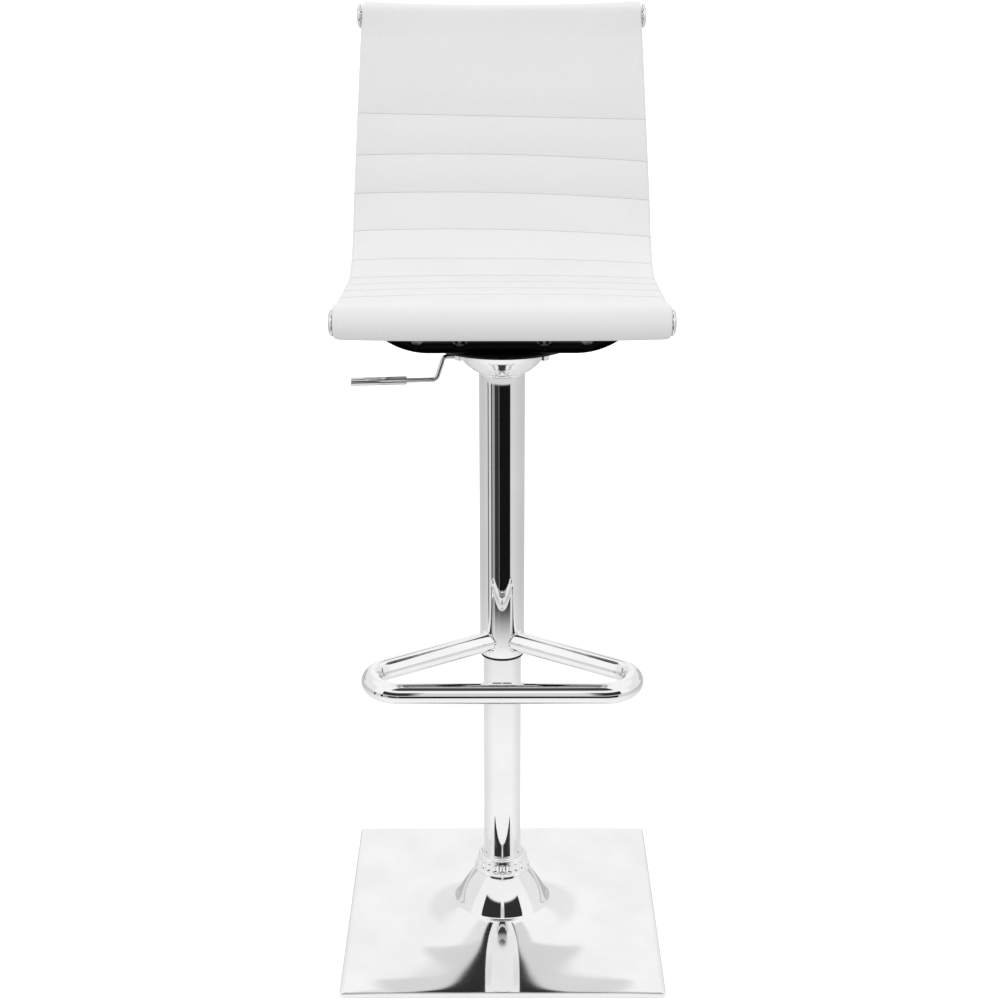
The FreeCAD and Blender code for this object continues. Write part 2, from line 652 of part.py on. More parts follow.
def lever_grip():
    """Chromed sleeve pushed over the end of the lever."""
    elbow, end = lever_route()[2:]
    way = (end - elbow).normalize()
    start = elbow + way * ((GRIP_START_X - elbow.x) / way.x)
    grip = rod_between(start, start + way * GRIP_LENGTH, GRIP_R)
    rims = [e for e in grip.Edges if abs(e.Length - 2 * math.pi * GRIP_R) < 0.1]
    return grip.makeFillet(1.0, rims).cut(lever_rod())


def lever_spring():
    """Torsion spring round the pivot pin that returns the lever."""
    coils = [Part.makeTorus(3.4, 0.5, Vector(LEVER_PIVOT_X, y, LEVER_Z), Y_AXIS)
             for y in (-13.3, -12.1, -10.9)]
    return group(coils)


def lever_pieces():
    parts["lever_rod"] = lever_rod()
    parts["lever_grip"] = lever_grip()
    parts["lever_spring"] = lever_spring()
    pin = Part.makeCylinder(LEVER_PIN_R, 25, Vector(LEVER_PIVOT_X, -15, LEVER_Z), Y_AXIS)
    parts["lever_pivot_pin"] = pin
    parts["valve_pin"] = disc(VALVE_PIN_R, *VALVE_PIN_Z)


def main():
    os.makedirs("parts", exist_ok=True)
    parts["floor_pad"] = square_plate(BASE_SIDE - 10, 6.0, 0.0, PAD_T)
    parts["base_cover"] = base_cover()
    parts["ballast_plate"] = ballast()
    parts["flange_bolts"] = flange_bolts()
    column_base()
    thrust_bearing()
    rod_pieces()
    parts["gas_cylinder"] = gas_cylinder()
    parts["outer_tube"] = outer_tube()
    parts["tube_end_bush"] = tube_end_bush()
    parts["footrest_frame"] = footrest()
    parts["bell_cover"] = bell_cover()
    parts["seat_pan"] = seat_pan()
    parts["taper_socket"] = taper_socket()
    parts["lever_bracket"] = lever_bracket()
    parts["pan_bolts"] = pan_bolts()
    parts["pan_nuts"] = pan_nuts()
    parts["spreader_front"] = spreader(-1)
    parts["spreader_rear"] = spreader(1)
    parts["rail_bolts"] = rail_bolts()
    parts["side_rail_left"] = side_rail(-1)
    parts["side_rail_right"] = side_rail(1)
    cross_rods()
    parts["seat_pad"] = pad()
    end_caps()
    lever_pieces()
    for name, shape in parts.items():
        solids = len(shape.Solids)
        print(f"{name:20s} solids {solids} valid {shape.isValid()} volume {shape.Volume:10.0f}")
        shape.exportStep(f"parts/{name}.step")


main()
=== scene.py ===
"""Adjustable swivel stool: shaped pieces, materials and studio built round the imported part."""

import json
import math

import bmesh
import bpy
from mathutils import Matrix, Vector, noise
from mathutils.bvhtree import BVHTree


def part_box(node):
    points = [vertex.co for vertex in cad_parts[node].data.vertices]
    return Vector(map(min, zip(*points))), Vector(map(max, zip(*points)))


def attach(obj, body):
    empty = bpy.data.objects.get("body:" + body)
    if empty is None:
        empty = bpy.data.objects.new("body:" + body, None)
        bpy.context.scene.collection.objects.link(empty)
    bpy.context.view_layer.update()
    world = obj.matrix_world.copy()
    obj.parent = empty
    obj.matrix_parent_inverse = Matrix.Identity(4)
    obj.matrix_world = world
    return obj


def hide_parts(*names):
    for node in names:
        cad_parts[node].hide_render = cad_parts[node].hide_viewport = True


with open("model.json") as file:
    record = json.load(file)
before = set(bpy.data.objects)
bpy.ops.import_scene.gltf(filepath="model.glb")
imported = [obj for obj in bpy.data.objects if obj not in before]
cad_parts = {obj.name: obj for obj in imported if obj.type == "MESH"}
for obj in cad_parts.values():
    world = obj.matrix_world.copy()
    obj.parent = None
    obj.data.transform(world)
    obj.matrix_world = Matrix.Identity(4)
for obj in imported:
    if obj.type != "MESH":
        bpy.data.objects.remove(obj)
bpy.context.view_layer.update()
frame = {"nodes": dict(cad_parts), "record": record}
MM = 0.001


def low(node):
    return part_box(node)[0]


def high(node):
    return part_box(node)[1]


def middle(node):
    return (low(node) + high(node)) / 2


# ---- outlines ---------------------------------------------------------------------------
def arc_points(first, through, last, steps):
    """Points on the circular arc through three flat points."""
    (ax, ay), (bx, by), (cx, cy) = first, through, last
    d = 2 * (ax * (by - cy) + bx * (cy - ay) + cx * (ay - by))
    a2, b2, c2 = ax * ax + ay * ay, bx * bx + by * by, cx * cx + cy * cy
    ux = (a2 * (by - cy) + b2 * (cy - ay) + c2 * (ay - by)) / d
    uy = (a2 * (cx - bx) + b2 * (ax - cx) + c2 * (bx - ax)) / d
    start = math.atan2(ay - uy, ax - ux)
    turn = math.atan2(cy - uy, cx - ux) - start
    turn = (turn + math.pi) % (2 * math.pi) - math.pi
    radius = math.hypot(ax - ux, ay - uy)
    angles = [start + turn * i / steps for i in range(steps + 1)]
    return [(ux + radius * math.cos(a), uy + radius * math.sin(a)) for a in angles]


def eased(corners, radius, closed=True, steps=5):
    """The outline with each corner turned on a round bend; radius is one value or one per corner."""
    corners = [Vector(c) for c in corners]
    radii = radius if isinstance(radius, (list, tuple)) else [radius] * len(corners)
    line = []
    for i, corner in enumerate(corners):
        if radii[i] == 0 or (not closed and i in (0, len(corners) - 1)):
            line.append(corner)
            continue
        back = corners[i - 1] - corner
        ahead = corners[(i + 1) % len(corners)] - corner
        room = 0.48 * min(back.length, ahead.length)
        back.normalize()
        ahead.normalize()
        angle = back.angle(ahead)
        if angle > math.pi - 0.03:
            line.append(corner)
            continue
        trim = min(radii[i] / math.tan(angle / 2), room)
        bend = trim * math.tan(angle / 2)
        centre = corner + (back + ahead).normalized() * (bend / math.sin(angle / 2))
        arm_a = corner + back * trim - centre
        arm_b = corner + ahead * trim - centre
        sweep_angle = math.pi - angle
        for k in range(steps + 1):
            t = k / steps
            part_a = math.sin((1 - t) * sweep_angle) / math.sin(sweep_angle)
            part_b = math.sin(t * sweep_angle) / math.sin(sweep_angle)
            line.append(centre + arm_a * part_a + arm_b * part_b)
    return line


def full_turn(count):
    """Angles of that many even steps round a circle."""
    return [2 * math.pi * i / count for i in range(count)]


def round_section(radius, count):
    return [(radius * math.cos(a), radius * math.sin(a)) for a in full_turn(count)]


def polar(radius, angle, z):
    """Point at a height, by its distance and direction from the stool's axis."""
    return (radius * math.cos(angle), radius * math.sin(angle), z)


def bar_section(width, height, corner):
    half_w, half_h = width / 2, height / 2
    corners = [(-half_w, -half_h), (half_w, -half_h), (half_w, half_h), (-half_w, half_h)]
    return eased(corners, corner, steps=4)


def off_flat(angle):
    """How far a direction turns from the middle of the nearest flat of a hexagon."""
    return (angle + math.pi / 6) % (math.pi / 3) - math.pi / 6


# ---- meshes -----------------------------------------------------------------------------
class Shape:
    """Vertices and faces of a piece while it is being put together."""

    def __init__(self):
        self.points = []
        self.faces = []

    def grid(self, rows, wrap=False, loop=False):
        """Quads between rows of points; wrap joins each row's ends, loop joins last row to first."""
        start = len(self.points)
        width = len(rows[0])
        for row in rows:
            self.points.extend(Vector(p) for p in row)
        for j in range(len(rows) if loop else len(rows) - 1):
            a = start + j * width
            b = start + ((j + 1) % len(rows)) * width
            for i in range(width if wrap else width - 1):
                k = (i + 1) % width
                self.faces.append((a + i, a + k, b + k, b + i))
        return start

    def cap(self, first, count, flip=False):
        face = list(range(first, first + count))
        self.faces.append(tuple(face[::-1] if flip else face))

    def lathe(self, outline, steps=160, axis=None):
        """Turns a closed outline of (radius, height) round an axis; axis is a 4x4 matrix, +Z by default."""
        rows = [[Vector(polar(r, a, z)) for a in full_turn(steps)] for r, z in outline]
        if axis:
            rows = [[axis @ p for p in row] for row in rows]
        self.grid(rows, wrap=True, loop=True)

    def sweep(self, path, section, side, ends=True):
        """Carries a flat section along a path; side is the way the section's first axis points."""
        rows = []
        side = Vector(side)
        count = len(path)
        for i, p in enumerate(path):
            before = path[i - 1] if i else p
            after = path[i + 1] if i < count - 1 else p
            ahead = (Vector(after) - Vector(before)).normalized()
            side = (side - ahead * side.dot(ahead)).normalized()
            up = ahead.cross(side)
            rows.append([Vector(p) + side * u + up * v for u, v in section])
        self.tube(rows) if ends else self.grid(rows, wrap=True)

    def tube(self, rows):
        """Rings of points joined into a skin that is capped at both ends."""
        start = self.grid(rows, wrap=True)
        width = len(rows[0])
        self.cap(start, width, flip=True)
        self.cap(start + (len(rows) - 1) * width, width)

    def capsule(self, ends, radius, around=6, rings=3):
        """Short rounded rod between two points."""
        a, b = Vector(ends[0]), Vector(ends[1])
        ahead = (b - a).normalized()
        side = ahead.orthogonal().normalized()
        up = ahead.cross(side)
        rows = []
        for centre, sign in ((a, -1), (b, 1)):
            bands = range(rings) if sign < 0 else range(rings - 1, -1, -1)
            for k in bands:
                lift = math.pi / 2 * (1 - k / (rings - 1)) * 0.98
                ring = centre + ahead * (sign * radius * math.sin(lift))
                r = radius * math.cos(lift)
                around_turn = full_turn(around)
                rows.append([ring + side * (r * math.cos(t)) + up * (r * math.sin(t)) for t in around_turn])
        self.tube(rows)

    def hexagon(self, across, low_z, high_z, x, y, chamfer):
        """Bolt head with its lower corners turned off by a cone."""
        half = across / 2
        rows = []
        for z, cut in ((low_z, chamfer), (low_z + chamfer * 0.45, 0.0), (high_z, 0.0)):
            row = []
            for a in full_turn(60):
                r = min(half / math.cos(off_flat(a)), half * 1.145 - cut)
                row.append((x + r * math.cos(a), y + r * math.sin(a), z))
            rows.append(row)
        self.tube(rows)


def made(shape, name, material, smooth):
    """The object made from a shape, painted, and smooth shaded up to an angle in degrees."""
    mesh = bpy.data.meshes.new(name)
    mesh.from_pydata([tuple(p) for p in shape.points], [], shape.faces)
    b = bmesh.new()
    b.from_mesh(mesh)
    bmesh.ops.remove_doubles(b, verts=b.verts, dist=2e-6)
    bmesh.ops.recalc_face_normals(b, faces=b.faces)
    b.to_mesh(mesh)
    b.free()
    piece = bpy.data.objects.new(name, mesh)
    bpy.context.scene.collection.objects.link(piece)
    mesh.shade_smooth()
    mesh.set_sharp_from_angle(angle=math.radians(smooth))
    mesh.materials.append(paint[material])
    return piece


def finished(shape, name, body, slot, nodes=(), smooth=40.0, material=None):
    """A made piece that rides its body and stands for its nodes; its material is its slot's if not given."""
    piece = made(shape, name, material or slot, smooth)
    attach(piece, body)
    if nodes:
        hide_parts(*nodes)
    return piece


# ---- material nodes ----------------------------------------------------------------------
class Net:
    """Adds and links the nodes of one tree."""

    def __init__(self, tree):
        self.tree = tree

    def set(self, socket, value):
        if isinstance(value, bpy.types.NodeSocket):
            self.tree.links.new(value, socket)
        else:
            socket.default_value = value

    def add(self, kind, inputs=(), **settings):
        node = self.tree.nodes.new("ShaderNode" + kind)
        for key, value in settings.items():
            setattr(node, key, value)
        for key, value in dict(inputs).items():
            self.set(node.inputs[key], value)
        return node

    def math(self, operation, a, b=0.0):
        return self.add("Math", {0: a, 1: b}, operation=operation).outputs[0]

    def spread(self, value, from_low, from_high, to_low=0.0, to_high=1.0, smooth=False):
        """Maps a stretch of one value onto another, clamped."""
        kind = "SMOOTHSTEP" if smooth else "LINEAR"
        inputs = {"Value": value, "From Min": from_low, "From Max": from_high,
                  "To Min": to_low, "To Max": to_high}
        return self.add("MapRange", inputs, interpolation_type=kind).outputs["Result"]

    def between(self, value, start, end, soft):
        """1 inside a band of values and 0 outside it, with soft edges."""
        rise = self.spread(value, start - soft, start + soft, smooth=True)
        fall = self.spread(value, end - soft, end + soft, 1.0, 0.0, smooth=True)
        return self.math("MULTIPLY", rise, fall)

    def speckle(self, where, scale, detail=2.0, roughness=0.5):
        inputs = {"Vector": where, "Scale": scale, "Detail": detail, "Roughness": roughness}
        return self.add("TexNoise", inputs).outputs["Fac"]

    def tint(self, factor, first, second):
        node = self.add("Mix", {0: factor}, data_type="RGBA")
        self.set(node.inputs[6], first)
        self.set(node.inputs[7], second)
        return node.outputs[2]


def node_group(name, inputs, outputs):
    """An empty shader node group with its sockets, as (group, net, input node, output node)."""
    tree = bpy.data.node_groups.new(name, "ShaderNodeTree")
    for way, sockets in (("INPUT", inputs), ("OUTPUT", outputs)):
        for label, kind, value in sockets:
            socket = tree.interface.new_socket(name=label, in_out=way, socket_type="NodeSocket" + kind)
            if value is not None:
                socket.default_value = value
    net = Net(tree)
    return tree, net, tree.nodes.new("NodeGroupInput"), tree.nodes.new("NodeGroupOutput")


def make_plating_group():
    """Electroplated skin: faint clouding, fine scuffs and the slow waves of polished sheet."""
    tree, net, given, result = node_group(
        "plating",
        [("Color", "Color", (0.8, 0.8, 0.8, 1)), ("Gloss", "Float", 0.04), ("Scuff", "Float", 0.03),
         ("Wave", "Float", 0.1), ("Wave Scale", "Float", 20.0)],
        [("Color", "Color", None), ("Roughness", "Float", None), ("Normal", "Vector", None)],
    )
    where = net.add("TexCoord").outputs["Object"]
    cloud = net.speckle(where, 14.0, 3.0)
    scuffs = net.spread(net.speckle(where, 420.0, 4.0, 0.7), 0.52, 0.72)
    dimmed = net.add("HueSaturation", {"Color": given.outputs["Color"], "Value": 0.94}).outputs["Color"]
    net.set(result.inputs["Color"], net.tint(net.spread(cloud, 0.35, 0.7), dimmed, given.outputs["Color"]))
    rough = net.math("MULTIPLY", scuffs, given.outputs["Scuff"])
    clouding = net.math("MULTIPLY", cloud, net.math("MULTIPLY", given.outputs["Gloss"], 0.5))
    rough = net.math("ADD", rough, clouding)
    net.set(result.inputs["Roughness"], net.math("ADD", rough, given.outputs["Gloss"]))
    wave = net.speckle(where, given.outputs["Wave Scale"], 1.0, 0.4)
    slow = net.add("Bump", {"Strength": given.outputs["Wave"], "Distance": 0.002, "Height": wave})
    fine = net.speckle(where, 900.0, 2.0)
    skin = net.add("Bump", {"Strength": 0.03, "Distance": 0.0001, "Height": fine,
                            "Normal": slow.outputs["Normal"]})
    net.set(result.inputs["Normal"], skin.outputs["Normal"])
    return tree


def make_coating_group():
    """Sprayed or moulded black surface: orange peel, dust-fine mottle and slight colour drift."""
    tree, net, given, result = node_group(
        "coating",
        [("Color", "Color", (0.02, 0.02, 0.02, 1)), ("Gloss", "Float", 0.3), ("Peel", "Float", 0.1),
         ("Peel Scale", "Float", 300.0)],
        [("Color", "Color", None), ("Roughness", "Float", None), ("Normal", "Vector", None)],
    )
    where = net.add("TexCoord").outputs["Object"]
    drift = net.speckle(where, 30.0, 4.0)
    paler = net.add("HueSaturation", {"Color": given.outputs["Color"], "Value": 1.5}).outputs["Color"]
    net.set(result.inputs["Color"], net.tint(net.spread(drift, 0.35, 0.75), given.outputs["Color"], paler))
    vary = net.spread(drift, 0.3, 0.7, 0.85, 1.2)
    net.set(result.inputs["Roughness"], net.math("MULTIPLY", given.outputs["Gloss"], vary))
    peel = net.speckle(where, given.outputs["Peel Scale"], 2.0)
    bump = net.add("Bump", {"Strength": given.outputs["Peel"], "Distance": 0.0004, "Height": peel})
    net.set(result.inputs["Normal"], bump.outputs["Normal"])
    return tree


PLATING = make_plating_group()
COATING = make_coating_group()


paint = {}


def new_material(name):
    """A new material, kept in paint under its name; with its net and its principled shader."""
    material = bpy.data.materials.new(name)
    material.use_nodes = True
    paint[name] = material
    return material, Net(material.node_tree), material.node_tree.nodes["Principled BSDF"]


def surfaced(name, group, settings, metallic=0.0, **plain):
    """Material whose colour, roughness and normal come from one of the shared groups."""
    _, net, principled = new_material(name)
    skin = net.add("Group", node_tree=group)
    for label, value in settings.items():
        skin.inputs[label].default_value = value
    for label, socket in (("Color", "Base Color"), ("Roughness", "Roughness"), ("Normal", "Normal")):
        net.set(principled.inputs[socket], skin.outputs[label])
    principled.inputs["Metallic"].default_value = metallic
    for label, value in plain.items():
        principled.inputs[label.replace("_", " ")].default_value = value


def grey(value, warmth=0.0):
    return (value + warmth, value, value - warmth, 1.0)


def plated(name, colour, gloss, scuff=0.2, wave=0.1, wave_scale=60.0):
    settings = {"Color": colour, "Gloss": gloss, "Scuff": scuff, "Wave": wave, "Wave Scale": wave_scale}
    surfaced(name, PLATING, settings, metallic=1.0)


def chrome(name, gloss=0.03, wave=0.05, wave_scale=18.0, shade=0.94):
    plated(name, grey(shade, -0.002), gloss, 0.02, wave, wave_scale)


def coated(name, shade, gloss, peel, scale):
    settings = {"Color": grey(shade), "Gloss": gloss, "Peel": peel, "Peel Scale": scale}
    surfaced(name, COATING, settings, Specular_IOR_Level=0.06)


def pad_leather():
    """Off-white bonded leather: fine pebble grain with painted shade in its valleys, soft creases and slight
    unevenness of tone.
    """
    _, net, principled = new_material("pad_leather")
    where = net.add("TexCoord").outputs["Object"]
    tone = net.speckle(where, 9.0, 3.0)
    colour = net.tint(net.spread(tone, 0.3, 0.7), (0.845, 0.845, 0.843, 1), (0.885, 0.885, 0.883, 1))
    pebbles = net.add("TexVoronoi", {"Vector": where, "Scale": 900.0, "Randomness": 1.0},
                      feature="DISTANCE_TO_EDGE")
    valleys = net.spread(pebbles.outputs["Distance"], 0.0, 0.25)
    # Painted shade: the valleys between the grain's pebbles are coloured a darker grey.
    valley_shaded_colour = net.tint(valleys, grey(0.78), colour)
    net.set(principled.inputs["Base Color"], valley_shaded_colour)
    rough = net.spread(net.speckle(where, 60.0, 3.0), 0.3, 0.7, 0.42, 0.52)
    net.set(principled.inputs["Roughness"], rough)
    creases = net.speckle(where, 55.0, 3.0, 0.6)
    soft = net.add("Bump", {"Strength": 0.10, "Distance": 0.0012, "Height": creases})
    grain = net.add("Bump", {"Strength": 0.35, "Distance": 0.00012, "Height": valleys,
                             "Normal": soft.outputs["Normal"]})
    pores = net.speckle(where, 2200.0, 2.0)
    fine = net.add("Bump", {"Strength": 0.2, "Distance": 0.00006, "Height": pores,
                            "Normal": grain.outputs["Normal"]})
    net.set(principled.inputs["Normal"], fine.outputs["Normal"])
    principled.inputs["Specular IOR Level"].default_value = 0.35
    principled.inputs["Sheen Weight"].default_value = 0.05


def sewing_thread():
    """Grey twisted thread: its plies show as slanted stripes, with painted shade in the darker stripes where
    the same wave bumps the thread lowest.
    """
    _, net, principled = new_material("sewing_thread")
    where = net.add("TexCoord").outputs["Object"]
    ply = net.add("TexWave", {"Vector": where, "Scale": 900.0, "Distortion": 2.0}, bands_direction="DIAGONAL")
    # Painted shade: the stripes are darkest where the ply wave is lowest, in the grooves between plies.
    net.set(principled.inputs["Base Color"], net.tint(ply.outputs["Fac"], grey(0.42), grey(0.58)))
    bump = net.add("Bump", {"Strength": 0.5, "Distance": 0.00008, "Height": ply.outputs["Fac"]})
    net.set(principled.inputs["Normal"], bump.outputs["Normal"])
    principled.inputs["Roughness"].default_value = 0.6


chrome("base_chrome", wave=0.02, shade=0.91)
chrome("column_chrome", wave=0.02, wave_scale=25.0)
chrome("collar_chrome", gloss=0.035)
chrome("footrest_chrome", gloss=0.025, wave=0.03, wave_scale=30.0)
chrome("bell_chrome")
chrome("rail_chrome", gloss=0.04)
chrome("cap_chrome")
chrome("bolt_chrome", gloss=0.05)
# Painted shade: the lever's chrome is greyer all over than the other chrome, standing in for the dark
# reflections along its grip.
chrome("lever_chrome", shade=0.72)
plated("ballast_steel", grey(0.20), 0.5)
plated("fastener_steel", grey(0.45), 0.3)
plated("bearing_steel", grey(0.6), 0.16)
plated("brass", (0.62, 0.44, 0.16, 1), 0.2)
coated("black_rubber", 0.018, 0.75, 0.5, 700.0)
coated("black_plastic", 0.02, 0.38, 0.25, 900.0)
coated("black_paint", 0.022, 0.42, 0.2, 350.0)
coated("black_gloss", 0.0012, 0.07, 0.03, 220.0)
pad_leather()
sewing_thread()


# ---- base -------------------------------------------------------------------------------
def edge_distance(angle, half, corner):
    """Distance from the centre to the edge of a rounded square, in one direction."""
    c, s = abs(math.cos(angle)), abs(math.sin(angle))
    reach = half / max(c, s)
    inner = half - corner
    if min(c, s) * reach <= inner:
        return reach
    along = (c + s) * inner
    return along + math.sqrt(max(along * along - 2 * inner * inner + corner * corner, 0.0))


def base_cover():
    """Stamped square cover: rounded edge, soft ridges to the corners, bell with a swept foot."""
    box_low, box_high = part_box("base_cover")
    half = box_high.x
    edge_r, corner = 2.2 * MM, 5.0 * MM
    top_half, top_corner = half - edge_r, corner - 1.2 * MM
    edge_z = 7.2 * MM
    dome_top = low("base_collar").z + 0.5 * MM
    waist = (58.6 * MM, 27.0 * MM)
    foot_r = 67 * MM
    angles = {round(a, 7) for a in full_turn(240)}
    for quarter in range(4):
        for k in range(-6, 7):
            angles.add(round((math.pi / 4 + quarter * math.pi / 2 + k * 0.0055) % (2 * math.pi), 7))
    angles = sorted(angles)

    def plate_height(x, y):
        """Height of the plate's skin: rounded margin, ridges to the corners, sweep up to the bell."""
        power = 24.0
        m = (abs(x) ** power + abs(y) ** power) ** (1 / power)
        inward = max(half - m, 0.0)
        margin = 1.3 * MM * (1 - math.exp(-inward / (14 * MM)))
        tent = 0.6 * MM * inward / half
        sweep = 12.6 * MM * math.exp(-(math.hypot(x, y) - 62 * MM) / (38 * MM))
        return edge_z + margin + tent + sweep

    foot_z = plate_height(0.0, foot_r)
    foot = eased([waist, (61.4 * MM, foot_z + 1.8 * MM), (foot_r, foot_z)], [0, 7 * MM, 0],
                 closed=False, steps=9)
    outline = [(24.6 * MM, dome_top)]
    outline += arc_points((31.5 * MM, dome_top), (49.0 * MM, 44.5 * MM), waist, 26)
    outline += [tuple(p) for p in foot[1:]]
    rows = [[polar(r, a, z) for a in angles] for r, z in outline]
    bands = 34
    for k in range(1, bands + 1):
        u = (k / bands) ** 1.25
        row = []
        for a in angles:
            x, y, _ = polar(foot_r + (edge_distance(a, top_half, top_corner) - foot_r) * u, a, 0.0)
            row.append((x, y, plate_height(x, y)))
        rows.append(row)
    edge_steps = 6
    for k in range(1, edge_steps + 1):
        t = math.pi / 2 * k / edge_steps
        row = []
        for a in angles:
            inner, outer = edge_distance(a, top_half, top_corner), edge_distance(a, half, corner)
            top = plate_height(inner * math.cos(a), inner * math.sin(a))
            row.append(polar(inner + (outer - inner) * math.sin(t), a, top - edge_r * (1 - math.cos(t))))
        rows.append(row)
    rim_z = box_low.z
    for inset, z in ((0.0, rim_z + 0.4 * MM), (0.4 * MM, rim_z), (1.2 * MM, rim_z), (1.5 * MM, 5.0 * MM)):
        rows.append([polar(edge_distance(a, half, corner) - inset, a, z) for a in angles])
    shape = Shape()
    shape.grid(rows, wrap=True)
    finished(shape, "base_shell", "base", "base_chrome", ["base_cover"], smooth=50)


def floor_pad():
    """Foam-rubber sheet under the base with softened edges and a shallow recess below."""
    half, top = high("floor_pad").x, high("floor_pad").z
    corner, middle_inset, recess = 6 * MM, 60 * MM, 0.25 * MM
    outline = [(middle_inset, recess), (6 * MM, recess), (5 * MM, 0.0), (0.8 * MM, 0.0), (0.0, 0.7 * MM),
               (0.0, top - 0.5 * MM), (0.6 * MM, top), (middle_inset, top)]
    angles = full_turn(160)
    shape = Shape()
    shape.tube([[polar(edge_distance(a, half - inset, corner), a, z) for a in angles] for inset, z in outline])
    finished(shape, "floor_mat", "base", "black_rubber", ["floor_pad"], smooth=32)


def collar():
    """Chromed collar with a belt of oval dimples and rounded lips."""
    bottom, top = low("base_collar").z, high("base_collar").z
    count = 24
    pitch = 2 * math.pi / count
    bore_r = 27.2 * MM
    belt_low, belt_high = bottom + 5.6 * MM, bottom + 21.6 * MM
    foot, neck = Vector((34.7 * MM, belt_low)), Vector((30.9 * MM, belt_high))
    dimple_z, dimple_r, dimple_straight = bottom + 12.6 * MM, 3.1 * MM, 2.6 * MM
    flange = [(27.2, 0, 0), (35.0, 0, 0.5), (36.0, 1.0, 0.9), (36.0, 3.2, 0.9), (34.9, 4.4, 0.6),
              (34.7, 5.6, 0)]
    lower = eased([(r * MM, bottom + z * MM) for r, z, _ in flange], [bend * MM for _, _, bend in flange],
                  closed=False)
    belt = [foot.lerp(neck, k / 44) for k in range(1, 45)]
    crown = eased([tuple(neck), (30.7 * MM, bottom + 22.5 * MM), (29.8 * MM, top - 0.2 * MM), (28.4 * MM, top),
                   (bore_r, top - 0.8 * MM)], [0, 1.0 * MM, 0.8 * MM, 0.6 * MM, 0], closed=False)
    rows = []
    for r, z in lower + belt + crown[1:]:
        row = []
        for a in full_turn(count * 22):
            across = ((a + pitch / 2) % pitch - pitch / 2) * r
            along = max(abs(z - dimple_z) - dimple_straight, 0.0)
            bowl = max(0.0, 1.0 - (math.hypot(across, along) / dimple_r) ** 2)
            dip = 1.3 * MM * bowl ** 0.8 if belt_low < z < belt_high else 0.0
            row.append(polar(r - dip, a, z))
        rows.append(row)
    shape = Shape()
    shape.grid(rows, wrap=True)
    finished(shape, "dimpled_collar", "base", "collar_chrome", ["base_collar"], smooth=60)


def turned(name, node, body, slot, outline):
    """Turned ring or tube from an outline of (radius, height) in metres."""
    shape = Shape()
    shape.lathe(outline)
    finished(shape, name, body, slot, [node])


def tube_piece(name, node, body, slot, lip=0.5 * MM):
    """Drawn tube with softened ends."""
    wall = 1.5 * MM
    r, bottom, top = high(node).x, low(node).z, high(node).z
    outline = eased([(r - wall, bottom), (r, bottom), (r, top), (r - wall, top)], lip, steps=4)
    fine = []
    for i, p in enumerate(outline):
        fine.append(p)
        q = outline[(i + 1) % len(outline)]
        if (q - p).length > 50 * MM:
            fine += [p.lerp(q, k / 24) for k in range(1, 24)]
    turned(name, node, body, slot, fine)


def column():
    """Both tubes of the column, the collar's seal and the bush in the outer tube's lower end."""
    tube_piece("lower_column", "lower_tube", "base", "column_chrome")
    tube_piece("outer_column", "outer_tube", "seat", "column_chrome", lip=0.7 * MM)
    seal_low, seal_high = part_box("collar_seal")
    bore = high("lower_tube").x + 0.05 * MM
    seal = eased([(bore, seal_low.z), (seal_high.x, seal_low.z), (seal_high.x, seal_high.z - 1.2 * MM),
                  (seal_high.x - 1.0 * MM, seal_high.z), (bore, seal_high.z)], 0.35 * MM)
    turned("collar_ring", "collar_seal", "base", "column_chrome", seal)
    bush_low, bush_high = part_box("tube_end_bush")
    bore = high("lower_tube").x + 0.08 * MM
    sleeve = high("outer_tube").x - 1.6 * MM
    lip_z = low("outer_tube").z
    bush = eased([(bore, bush_low.z), (bush_high.x, bush_low.z), (bush_high.x, lip_z - 0.1 * MM),
                  (sleeve, lip_z), (sleeve, bush_high.z), (bore, bush_high.z)], 0.4 * MM)
    turned("end_bush_ring", "tube_end_bush", "seat", "black_plastic", bush)


# ---- footrest ---------------------------------------------------------------------------
def footrest_path():
    """Centre line of the footrest tube, from one weld round the front to the other."""
    box_low, box_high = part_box("footrest_frame")
    z = (box_low.z + box_high.z) / 2
    tube_r = (box_high.z - box_low.z) / 2
    bend_r = 37 * MM
    inside_tube = -16 * MM
    start = Vector((inside_tube, inside_tube, z))
    corner = Vector((box_low.x + tube_r + bend_r, box_low.y + tube_r + bend_r, z))
    reach = start - corner
    lean = math.atan2(reach.y, reach.x) + math.acos(bend_r / reach.length)
    steps = 30
    half = [start]
    for k in range(steps + 1):
        a = lean + (1.5 * math.pi - lean) * k / steps
        half.append(corner + Vector((math.cos(a), math.sin(a), 0)) * bend_r)
    arm = [half[0].lerp(half[1], t) for t in (0.25, 0.5, 0.75)]
    half = [half[0]] + arm + half[1:]
    bar = [half[-1].lerp(Vector((-half[-1].x, half[-1].y, z)), t) for t in (0.2, 0.4, 0.6, 0.8)]
    across = [Vector((-p.x, p.y, p.z)) for p in reversed(half)]
    return half + bar + across, tube_r


def meets_tube(start, way, radius):
    """Where a line from inside the upright tube leaves a cylinder of that radius."""
    a = way.x**2 + way.y**2
    b = start.x * way.x + start.y * way.y
    c = start.x**2 + start.y**2 - radius**2
    return start + way * ((-b + math.sqrt(b * b - a * c)) / a)


